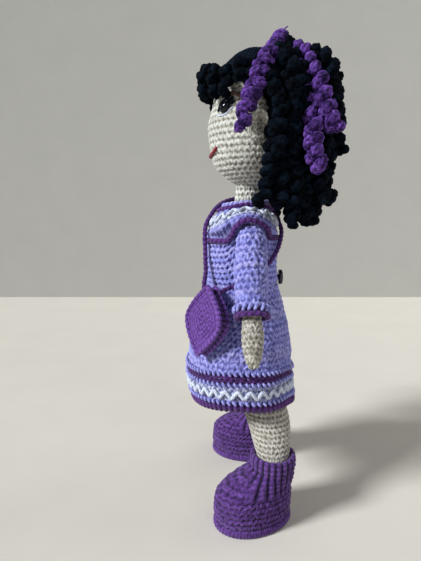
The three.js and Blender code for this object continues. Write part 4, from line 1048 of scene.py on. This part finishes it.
def boot_upper(side, ankle):
    """The foot and shaft. Ribs run up the shaft and fade into rough stitches on the foot."""
    node = side + "_boot_upper"
    low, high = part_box(node)
    foot = np.array([(low.x + high.x) / 2, (low.y + high.y) / 2])
    shares = np.linspace(0, 1, 46)
    middles = foot + (np.array(ankle.xy) - foot) * (shares**2)[:, None]
    surface = stack_surface(node, low.z + (high.z - low.z) * shares, middles, blur=(1.0, 3.0))
    surface = np.concatenate([surface, ring_in(surface[-1], high.z, *UPPER_RIM)])

    def shape(turn, level, counts):
        grid = resampled(by_arc(surface, len(turn))[0], turn.shape[1])
        phase = np.arctan2(grid[:, :, 0] - ankle.x, ankle.y - grid[:, :, 1]) / TAU
        share = np.clip((grid[:, :, 2] - high.z + RIB_SHAFT) / RIB_FADE, 0, 1)
        share = share * np.clip((grid[:, :, 1] - ankle.y + INSTEP) / INSTEP_FADE, 0, 1)
        plain = 0.3 * ridged(turn, level, counts) + 0.7 * rough(turn, level, counts)
        return plain * (1 - share) + ribbed(phase, level) * share

    crochet(node + "_yarn", surface, "boot", "body", node, shape=shape, **WORK["boot_upper"])


def boot_cuff(side, low, high, ankle):
    """The ribs go on up the cuff to a rolled rim."""
    node = side + "_boot_cuff"
    ring = stack_surface(node, np.linspace(low.z, high.z, 14), ankle.xy, blur=(0.5, 4.0))
    below = ring_in(ring[0], low.z, *CUFF_UNDER, ring.mean((0, 1)))
    over = ring_in(ring[-1], high.z, *CUFF_OVER)

    def shape(turn, level, counts):
        fade = np.clip((level.max() - level) / 1.6, 0.35, 1)
        return ribbed(turn, level) * fade + (1 - fade) * 0.6

    crochet(node + "_yarn", np.concatenate([below, ring, over]), "boot", "body", node, shape=shape,
            **WORK["boot_cuff"])


def boot_sole(side):
    """A flat foot with a stitched edge."""
    node = side + "_boot_sole"
    low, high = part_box(node)
    heights = np.linspace(low.z + SOLE_LOW_ROUND, high.z - SOLE_HIGH_ROUND, 8)
    wall = stack_surface(node, heights, ((low + high) / 2).xy, blur=(0.5, 3.0))
    bottom = ring_in(wall[0], low.z, SOLE_UNDER_SHARES)
    top = ring_in(wall[-1], high.z, SOLE_OVER_SHARES)
    girth = np.linalg.norm(np.roll(wall[0], -1, 0) - wall[0], axis=1).sum()
    edging = roped(int(girth / SOLE_STITCH), SOLE_LEAST)
    crochet(node + "_yarn", np.concatenate([bottom, wall, top]), "boot", "body", node, shape=edging,
            lowest=low.z, **WORK["boot_sole"])


for side, sign in SIDES:
    leg(side)
    cuff_low, cuff_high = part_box(side + "_boot_cuff")
    ankle = (cuff_low + cuff_high) / 2
    boot_upper(side, ankle)
    boot_cuff(side, cuff_low, cuff_high, ankle)
    boot_sole(side)

# Arms and sleeves

ARM_SPREAD = math.radians(26)
HAND_END = 100.6 * MM
ARM_TOP = 8 * MM
SLEEVE_LENGTH = 57 * MM
SLEEVE_TOP = 1 * MM
SLEEVE_GAP = 0.3 * MM
SLEEVE_ROWS = 50
CUFF_TAPER_ROWS, CUFF_TAPER_SHARES = (0, 26), (0.12, 0)
FRONT_TAPER_ROWS, FRONT_TAPER_SHARES = (28, 49), (0, 0.17)
BALL_TURN_SHARES = (0.08, 0.95)
SLEEVE_CUFF = 6 * MM
CUFF_INSET = 0.5 * MM
CUFF_ROLL = 0.4 * MM
CUFF_SHARE = 0.87
CUFF_INWARD_SHARES = (0.78, 0.86, 0.94)
CUFF_EDGE_SHARE = 0.94
CUFF_EDGE_RADIUS = 2.2 * MM
CUFF_EDGE_BEAD = 4.8 * MM
CUFF_LAPS = 18
LAP_LENGTH = 6 * MM
LAP_LEAN = 1.4 * MM
LAP_SUNK = 0.3 * MM
LAP_BULGE = 0.8 * MM
LAP_RADIUS = 1.3 * MM


def arm_line(side, sign):
    """The shoulder, and the way down the arm."""
    shoulder = Vector(JOINTS[side + "_arm_swing"]["pos_m"])
    return shoulder, Vector((sign * math.sin(ARM_SPREAD), 0, -math.cos(ARM_SPREAD)))


def arm_tube(node, line, start, end, rows, blur=(1.0, 3.0)):
    """Rows round the arm between two lengths from the shoulder."""
    shoulder, down = line
    return tube_surface(node, shoulder + down * start, shoulder + down * end, rows, blur)


def sleeve(side, line):
    """A sleeve that is slimmer towards the cuff, and at the front of the shoulder. Its rows are returned."""
    shoulder, down = line
    node = side + "_sleeve"
    tube = arm_tube(node, line, SLEEVE_LENGTH - SLEEVE_GAP, SLEEVE_TOP, SLEEVE_ROWS)
    row = np.arange(SLEEVE_ROWS)[:, None]
    at_cuff = np.interp(row, CUFF_TAPER_ROWS, CUFF_TAPER_SHARES)
    at_front = np.interp(row, FRONT_TAPER_ROWS, FRONT_TAPER_SHARES) * (0.5 + 0.5 * np.cos(ROUND))
    tube = slimmed(tube, (1 - at_cuff - at_front)[:, :, None])
    ring = tube[-1] - np.array(shoulder + down * SLEEVE_TOP)
    rise = np.array(down) * np.linalg.norm(ring, axis=1).mean()
    turns = np.linspace(*BALL_TURN_SHARES, 14)[:, None, None] * QUARTER
    ball = np.array(shoulder) + ring * 0.95 * np.cos(turns) - rise * 0.90 * np.sin(turns)
    rows = np.concatenate([tube, ball])
    crochet(node + "_yarn", rows, "lilac", side + "_arm", node, **WORK["sleeve"])
    return tube


def sleeve_cuff(side, line, tube):
    """A roped cuff with a beaded edge, and stitches of the sleeve's yarn that lap over it."""
    shoulder, down = line
    down_way = np.array(down)
    node, body = side + "_sleeve_cuff", side + "_arm"
    cuff_end = SLEEVE_LENGTH + SLEEVE_CUFF
    cuff = arm_tube(node, line, cuff_end, SLEEVE_LENGTH + CUFF_INSET, 12, (0.5, 3.0))
    cuff = slimmed(cuff, CUFF_SHARE)
    foot = np.array(shoulder + down * (cuff_end + CUFF_ROLL))
    inward = foot + (cuff[0] - cuff[0].mean(0)) * np.array(CUFF_INWARD_SHARES)[:, None, None]
    crochet(node + "_yarn", np.concatenate([inward, cuff]), "purple", body, node, **WORK["sleeve_cuff"])
    edge = slimmed(cuff, CUFF_EDGE_SHARE)[2]
    rope = beaded([*edge[::4], edge[0]], CUFF_EDGE_RADIUS, CUFF_EDGE_BEAD)
    gathered(side + "_sleeve_edge", [rope], "purple", body)
    laps = []
    for j in np.arange(CUFF_LAPS) * STEP_ROUND // CUFF_LAPS:
        ray = tube[0, j] - np.array(shoulder + down * SLEEVE_LENGTH)
        ray /= np.linalg.norm(ray)
        low = cuff[6, j] + ray * LAP_SUNK
        across = np.cross(ray, down_way) * LAP_LEAN
        middle = low - down_way * LAP_LENGTH / 2 + ray * LAP_BULGE
        laps.append(thread([low - across, middle, low - down_way * LAP_LENGTH + across], LAP_RADIUS, sides=8))
    gathered(side + "_sleeve_laps", laps, "lilac", body)


for side, sign in SIDES:
    line = arm_line(side, sign)
    hand = arm_tube(side + "_arm_skin", line, HAND_END, ARM_TOP, 80)
    crochet(side + "_arm_yarn", hand, "limb", side + "_arm", side + "_arm_skin", **WORK["arm"])
    sleeve_cuff(side, line, sleeve(side, line))

# Dress: one surface from the hem to the neck, which its pieces share between them

DRESS_CENTRE = at(0, -6.2, 0)
YOKE_CENTRE = at(0, -3, 222)
YOKE_TOP = math.radians(68)
HEM_HEIGHT = 6.8 * MM
HEM_INSET = 0.4 * MM
WAIST_INSET = 0.2 * MM
STRIPE_RISE = 24 * MM
STRIPE_HEIGHT = 7.0 * MM
SKIRT_RISE = 3.5 * MM
SKIRT_PULL = 0.6 * MM
BACK_PULL = 2.2 * MM
BACK_RISE = 3.5 * MM
STRAP_FILL = 2.2 * MM
BODICE_LAP = 2.6 * MM
SEAM_DEPTH = 1.0 * MM
SEAM_DEG = [0, 45, 62, 72, 80, 91, 101, 110, 126, 180]
SEAM_Z = [233.6, 234.5, 235.5, 242, 248, 251, 248, 242, 237.7, 236.5]
TUCK = ((0.93, 0.955, 0.98), (1.4, 0.3, -0.2))


def bump_round(middle_deg, width_deg):
    """A soft bump round the dress on both sides, 1 at an angle from the front."""
    return np.exp(-(((FROM_FRONT - math.radians(middle_deg)) / math.radians(width_deg)) ** 2))


hem_low = edge_of("skirt_hem", DRESS_CENTRE, False)
waist = edge_of("dress_skirt", DRESS_CENTRE, True)
skirt_parts = ["dress_skirt", "skirt_hem"]
skirt_ends = (hem_low + HEM_INSET, waist - WAIST_INSET)
full_skirt = ring_surface(skirt_parts, *skirt_ends, DRESS_CENTRE, rows=90, blur=(2.0, 3.0))
back_corner = bump_round(140, 24)
share = np.linspace(1, 0, len(full_skirt))[:, None]
flat = full_skirt[:, :, :2] - np.array(DRESS_CENTRE.xy)
pull = (SKIRT_PULL + BACK_PULL * back_corner) * share / np.linalg.norm(flat, axis=2)
full_skirt[:, :, :2] -= flat * pull[:, :, None]
full_skirt[:, :, 2] += BACK_RISE * back_corner * share**3
hem_low = full_skirt[0, :, 2] - HEM_INSET
stripe_low = hem_low + STRIPE_RISE
stripe_high = stripe_low + STRIPE_HEIGHT

seam_z = np.interp(np.degrees(FROM_FRONT), SEAM_DEG, SEAM_Z) * MM
bodice_low = edge_of("dress_bodice", DRESS_CENTRE, False)
bodice_parts = ["dress_bodice", "yoke_seam", "dress_yoke"]
bodice_surface = ring_surface(bodice_parts, bodice_low - BODICE_LAP, seam_z, DRESS_CENTRE, rows=40)
share = np.linspace(0, 1, len(bodice_surface))[:, None]
fullness = np.interp(share, (0.3, 0.7, 0.9, 1), (0, 1, 1, 0.6))
bodice_surface[:, :, 1] += STRAP_FILL * bump_round(180, 32) * fullness
seam_from = bodice_surface[-1] - np.array(YOKE_CENTRE)
seam_tilt = np.arctan2(seam_from[:, 2], np.hypot(seam_from[:, 0], seam_from[:, 1]))
yoke_surface = dome_surface(bodice_parts, YOKE_CENTRE, seam_tilt, YOKE_TOP, rows=46, blur=(1.5, 1.5))


def between_heights(surface, low, high, rows):
    """The part of a surface between two heights at each angle."""
    z = low + (high - low) * np.linspace(0, 1, rows)[:, None]
    columns = [interpolated(z[:, j], surface[:, j, 2], surface[:, j]) for j in range(STEP_ROUND)]
    return np.stack(columns, axis=1)


# The bodice goes on under the seam, as far as the yoke's own edge
under_seam = yoke_surface[:1] - normals_of(yoke_surface)[:1] * SEAM_DEPTH
bodice = np.concatenate([bodice_surface, under_seam])
crochet("dress_bodice_yarn", bodice, "lilac", "body", "dress_bodice", **WORK["bodice"])
skirt_top = between_heights(full_skirt, hem_low + SKIRT_RISE, waist, 80)
crochet("dress_skirt_yarn", skirt_top, "lilac", "body", "dress_skirt", **WORK["skirt"])
stripe = between_heights(full_skirt, stripe_low, stripe_high, 12)
crochet("skirt_stripe_yarn", stripe, "purple", "body", "skirt_stripe", **WORK["stripe"])
hem_ring = between_heights(full_skirt, hem_low, hem_low + HEM_HEIGHT, 14)
hem = np.concatenate([ring_in(hem_ring[0], hem_low, *TUCK), hem_ring])
crochet("skirt_hem_yarn", hem, "purple", "body", "skirt_hem", **WORK["hem"])
crochet("dress_yoke_yarn", yoke_surface, "lilac", "body", "dress_yoke", **WORK["yoke"])


def beaded_row(surface, row, radius, bead, out):
    """A beaded rope along one row of a surface. Its sizes are in millimetres."""
    ring = surface[row] + normals_of(surface)[row] * out * MM
    return [beaded([*ring[::2], ring[0]], radius * MM, bead * MM)]


fine_yoke, _ = by_arc(yoke_surface, 101)
gathered("yoke_seam_yarn", beaded_row(yoke_surface, 0, 2.3, 4.6, 1.0), "purple", "body", "yoke_seam")
gathered("neck_band", beaded_row(fine_yoke, 80, 1.9, 4.4, 0.8), "purple", "body")
gathered("neck_edge", beaded_row(fine_yoke, 97, 2.2, 4.4, 0.4), "lilac", "body")

ZIGZAG_OUT = 1.1 * MM
ZIGZAG_STEP = 1.0 * MM
ZIGZAG_TWIST = 3.4 * MM


def on_surface(rows, i, j):
    """A point between the points of a grid that wraps round."""
    low_i, low_j = min(int(i), len(rows) - 2), int(j)
    share_i, share_j = i - low_i, j - low_j
    next_j = (low_j + 1) % rows.shape[1]
    low_row = rows[low_i, low_j] * (1 - share_j) + rows[low_i, next_j] * share_j
    high_row = rows[low_i + 1, low_j] * (1 - share_j) + rows[low_i + 1, next_j] * share_j
    return low_row * (1 - share_i) + high_row * share_i


def zigzag(surface, low, high, teeth, radius):
    """A thick white thread in zigzags between two shares of a surface's arc."""
    rows, _ = by_arc(surface, 101)
    proud = rows + normals_of(rows) * ZIGZAG_OUT
    points = []
    for k in range(teeth * 4):
        wave = 0.5 + 0.5 * math.sin(QUARTER * k)
        points.append(on_surface(proud, 100 * (low + (high - low) * wave), k / (teeth * 4) * rows.shape[1]))
    points.append(points[0])
    return [thread(points, radius * MM, step=ZIGZAG_STEP, twist=ZIGZAG_TWIST, taper=False)]


gathered("skirt_zigzag", zigzag(skirt_top, 0.092, 0.148, 35, 1.6), "white", "body")
gathered("yoke_zigzag", zigzag(yoke_surface, 0.40, 0.56, 22, 1.3), "white", "body")

LOOP_RADIUS = 1.15 * MM
LOOP_START_OUT = 1.2 * MM
LOOP_BULGE = 0.8 * MM
LOOP_END_OUT = 0.6 * MM


def loops_over(heights, length, lean):
    """Short slanted loops of lavender yarn that lap over a purple band, one to a stitch."""
    parts = []
    for place in np.arange(HEM_STRANDS) / HEM_STRANDS * STEP_ROUND:
        j = int(place)
        share = place - j
        after = (j + 1) % STEP_ROUND
        column = full_skirt[:, j] * (1 - share) + full_skirt[:, after] * share
        z = heights[j] * (1 - share) + heights[after] * share
        foot, top = (interpolated(z + rise, column[:, 2], column) for rise in (0, length))
        out = foot - np.array([DRESS_CENTRE.x, DRESS_CENTRE.y, foot[2]])
        out /= np.linalg.norm(out)
        across = np.cross(out, (0, 0, 1.0)) * lean / 2
        start = foot + out * LOOP_START_OUT - across
        end = top + out * LOOP_END_OUT + across
        parts.append(thread([start, (start + end) / 2 + out * LOOP_BULGE, end], LOOP_RADIUS, sides=8))
    return parts


# Three rows of loops: the height that each starts from, then its rise, length and lean in millimetres
LOOP_ROWS = ((hem_low, 6.4, 3.4, 2.4), (stripe_low, -2.4, 3.8, 2.2), (stripe_high, -0.6, 3.2, 2.4))
loops = []
for heights, rise, length, lean in LOOP_ROWS:
    loops += loops_over(heights + rise * MM, length * MM, lean * MM)
gathered("lavender_loops", loops, "lilac", "body")

# Button: its shank, edge and sunk face, as (share of the radius, millimetres out) pairs

BUTTON = [
    (0.2, -3.6), (0.36, -3.6), (0.36, -1.5), (0.96, -1.5), (1.0, -1.0), (1.0, 0.8),
    (0.93, 1.5), (0.8, 1.6), (0.7, 1.1), (0.3, 1.0), (0.02, 1.0),
]
BUTTON_SIDES = 40
low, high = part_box("back_button")
button_middle = np.array((low + high) / 2)
button_radius = (high.z - low.z) / 2
angles = np.arange(BUTTON_SIDES) * TAU / BUTTON_SIDES
disc = np.stack([-np.cos(angles), np.zeros(BUTTON_SIDES), np.sin(angles)], axis=1) * button_radius
rings = np.array([button_middle + disc * share + np.array((0, rise * MM, 0)) for share, rise in BUTTON])
gathered("back_button_disc", [(rings, {"proud": np.ones(rings.shape[:2])})], "button", "body", "back_button")

# Bag

LEAF_POWER = 1.6
LEAF_SIDES = 210
LEAF_STEPS = 44
LEAF_ROUNDS = 6.4
LEAF_COUNTS = np.array([6, 12, 18, 24, 30, 34, 36])
LEAF_DOME = 0.9 * MM
LEAF_RELIEF = 1.4 * MM
LEAF_TONE = 0.3
EDGE_LIFT = 0.8 * MM
EDGE_RADIUS = 2.1 * MM
EDGE_BEAD = 4.4 * MM


def leaf_frame(node):
    """A disc's middle, and the ways out of it, up it and across it."""
    co = points_of(node)
    middle = co.mean(0)
    out_way = np.linalg.svd(co - middle)[2][2]
    out_way = out_way if out_way @ np.array((1, -1, 0)) > 0 else -out_way
    up_way = np.array((0, 0, 1.0)) - out_way * out_way[2]
    up_way /= np.linalg.norm(up_way)
    return middle, out_way, up_way, np.cross(up_way, out_way)


leaf_middle, LEAF_OUT, LEAF_UP, LEAF_SIDE = leaf_frame("bag_front_disc")
leaf_axes = np.stack([LEAF_SIDE, LEAF_UP, LEAF_OUT]).T
leaf_half = np.abs((points_of("bag_front_disc") - leaf_middle) @ leaf_axes).max(0)


def leaf_points(turn, scale=1.0):
    """The leaf's outline at the given turns, in radians from its top point."""
    y = np.cos(turn)
    x = np.sign(np.sin(turn)) * (1 - np.abs(y) ** LEAF_POWER)
    return scale * (leaf_half[0] * x[..., None] * LEAF_SIDE + leaf_half[1] * y[..., None] * LEAF_UP)


def even_leaf(count):
    """The leaf's outline in even steps of arc."""
    fine = leaf_points(np.linspace(0, TAU, 721))
    length = arc_lengths(fine)
    return interpolated(np.arange(count) / count * length[-1], length, fine)


def bag_disc(node, sign):
    """A leaf of crochet rounds, slightly domed, with a beaded edge."""
    middle = leaf_frame(node)[0]
    outline = even_leaf(LEAF_SIDES)
    share = np.linspace(1.0, 0.02, LEAF_STEPS)[:, None]
    turn = turns_round(LEAF_SIDES, LEAF_STEPS)
    height = ridged(turn, np.broadcast_to(share * LEAF_ROUNDS, turn.shape), LEAF_COUNTS)
    lift = leaf_half[2] * 0.8 + (1 - share**2) * LEAF_DOME + (height - 0.7) * LEAF_RELIEF
    grid = middle + share[:, :, None] * outline + sign * lift[:, :, None] * LEAF_OUT
    back = middle + outline[None] - sign * leaf_half[2] * 0.8 * LEAF_OUT
    grid = np.concatenate([back, grid])
    shade = np.concatenate([height[:1] * 0.3, height])
    if sign > 0:
        grid, shade = grid[:, ::-1], shade[:, ::-1]
    layers = {"proud": shade, "tone": np.full(shade.shape, LEAF_TONE)}
    gathered(node + "_yarn", [(grid, layers)], "bag", "bag", node)
    edge = middle + outline[::7] * 0.99 + sign * EDGE_LIFT * LEAF_OUT
    gathered(node + "_edge", [beaded([*edge, edge[0]], EDGE_RADIUS, EDGE_BEAD)], "bag", "bag")


bag_disc("bag_front_disc", 1)
bag_disc("bag_back_disc", -1)

# Gusset: a band round the leaf, open at its top, as (share of the leaf, share of the half depth) pairs

PROFILE = ((0.985, -1), (1.0, -0.5), (1.0, 0), (1.0, 0.5), (0.985, 1), (0.89, 1), (0.885, 0), (0.89, -1))
GUSSET_OPEN = math.radians(35)
GUSSET_STEPS = 200
GUSSET_STRANDS = 36
GUSSET_RELIEF = 0.9 * MM

gusset_middle = (leaf_middle + leaf_frame("bag_back_disc")[0]) / 2
gusset_half = np.abs((points_of("bag_gusset") - gusset_middle) @ LEAF_OUT).max()
gusset_turn = np.linspace(GUSSET_OPEN, TAU - GUSSET_OPEN, GUSSET_STEPS)
bands = [leaf_points(gusset_turn, scale) + depth * gusset_half * LEAF_OUT for scale, depth in PROFILE]
gusset = np.stack(bands, axis=1)
slant = 0.4 * np.arange(len(PROFILE)) / len(PROFILE)
along = np.arange(GUSSET_STEPS)[:, None] / GUSSET_STEPS
strands = np.abs(np.sin(math.pi * (along * GUSSET_STRANDS + slant)))
out_way = gusset / np.linalg.norm(gusset, axis=2, keepdims=True)
gusset = gusset_middle + gusset + out_way * ((strands - 0.7) * GUSSET_RELIEF)[:, :, None]
# proud follows the strands: painted shade between them
layers = {"proud": strands[:, ::-1], "tone": np.full(strands.shape, LEAF_TONE)}
gathered("bag_gusset_yarn", [(gusset[:, ::-1], layers)], "purple", "bag", "bag_gusset")

# Strap: a crocheted chain along the route that the solid has

STRAP_ROUTE = [
    (0.0281, -0.0383, 0.1944), (0.0254, -0.0382, 0.2005), (0.0215, -0.0370, 0.2085),
    (0.0180, -0.0373, 0.2180), (0.0155, -0.0375, 0.2280), (0.0135, -0.0378, 0.2380),
    (0.0100, -0.0369, 0.2470), (0.0043, -0.0322, 0.2560), (-0.0028, -0.0264, 0.2629),
    (-0.0098, -0.0190, 0.2673), (-0.0159, -0.0106, 0.2694), (-0.0188, -0.0010, 0.2698),
    (-0.0183, 0.0095, 0.2685), (-0.0143, 0.0188, 0.2634), (-0.0063, 0.0248, 0.2540),
    (0.0043, 0.0282, 0.2436), (0.0143, 0.0258, 0.2330), (0.0230, 0.0203, 0.2230),
    (0.0302, 0.0120, 0.2140), (0.0336, 0.0020, 0.2065), (0.0352, -0.0080, 0.2010),
    (0.0384, -0.0178, 0.1980), (0.0404, -0.0260, 0.1948),
]
STRAP_DIAMETER = 4 * MM
STRAP_BEAD = 4.2 * MM
STRAP_STEP = 0.6 * MM
strap_points = [HOME + Vector(p) for p in STRAP_ROUTE]
strap_line, strap_length = line_through(strap_points, STRAP_STEP)
strap_parts = [beaded(strap_points, STRAP_DIAMETER / 2, STRAP_BEAD)]
strap = gathered("bag_strap_yarn", strap_parts, "purple", "body", "bag_strap")

# What stays inside keeps its CAD form, with a finished material

INSIDE = {"stuffing": "fill", "insole": "card", "stiffener": "wood", "washer": "plastic"}
for name, node in NODES.items():
    for word, material in INSIDE.items():
        if word in name:
            node.data.materials.clear()
            node.data.materials.append(MATERIALS[material])

# Floor, backdrop and light

FLOOR_SIZE = 6.0
FLOOR_DROP = 0.2 * MM
WALL_X = -0.84
FLOOR_COLOUR = (0.66, 0.62, 0.56)
WALL_COLOUR = (0.475, 0.463, 0.432)
WORLD_COLOUR = (0.8, 0.82, 0.86, 1)
WORLD_STRENGTH = 0.17
LIT_POINT = Vector((0, 0, 0.2))


def stage_plane(name, location, rotation, colour):
    bpy.ops.mesh.primitive_plane_add(size=FLOOR_SIZE, location=location, rotation=rotation)
    plane = bpy.context.active_object
    plane.name = name
    paint = plain_material(name + "_paint", colour, 1.0, grain=0.04, grain_scale=14, specular=0.05)
    plane.data.materials.append(paint)
    return plane


floor = stage_plane("floor", (0, 0, -FLOOR_DROP), (0, 0, 0), FLOOR_COLOUR)
wall = stage_plane("wall", (WALL_X, 0, 0), (0, QUARTER, 0), WALL_COLOUR)


def light(name, kind, location, spread, power, colour):
    """A lamp that points at the doll's middle. spread is a sun's angle or an area's side."""
    data = bpy.data.lights.new(name, kind)
    data.energy = power
    data.color = colour
    if kind == "SUN":
        data.angle = spread
    else:
        data.size = spread
    lamp = bpy.data.objects.new(name, data)
    lamp.location = location
    lamp.rotation_euler = (LIT_POINT - Vector(location)).to_track_quat("-Z", "Y").to_euler()
    bpy.context.scene.collection.objects.link(lamp)


light("key", "SUN", (0.9, -2.1, 1.7), math.radians(14), 4.2, (0.94, 0.98, 1.0))
light("fill", "AREA", (1.6, 0.9, 1.0), 1.2, 7, (0.92, 0.96, 1.0))
light("rim", "AREA", (-0.5, 1.5, 1.3), 1.0, 6, (1.0, 1.0, 1.0))

world = bpy.data.worlds.new("world")
world.use_nodes = True
world.node_tree.nodes["Background"].inputs["Color"].default_value = WORLD_COLOUR
world.node_tree.nodes["Background"].inputs["Strength"].default_value = WORLD_STRENGTH
bpy.context.scene.world = world
bpy.context.scene.view_settings.view_transform = "Standard"
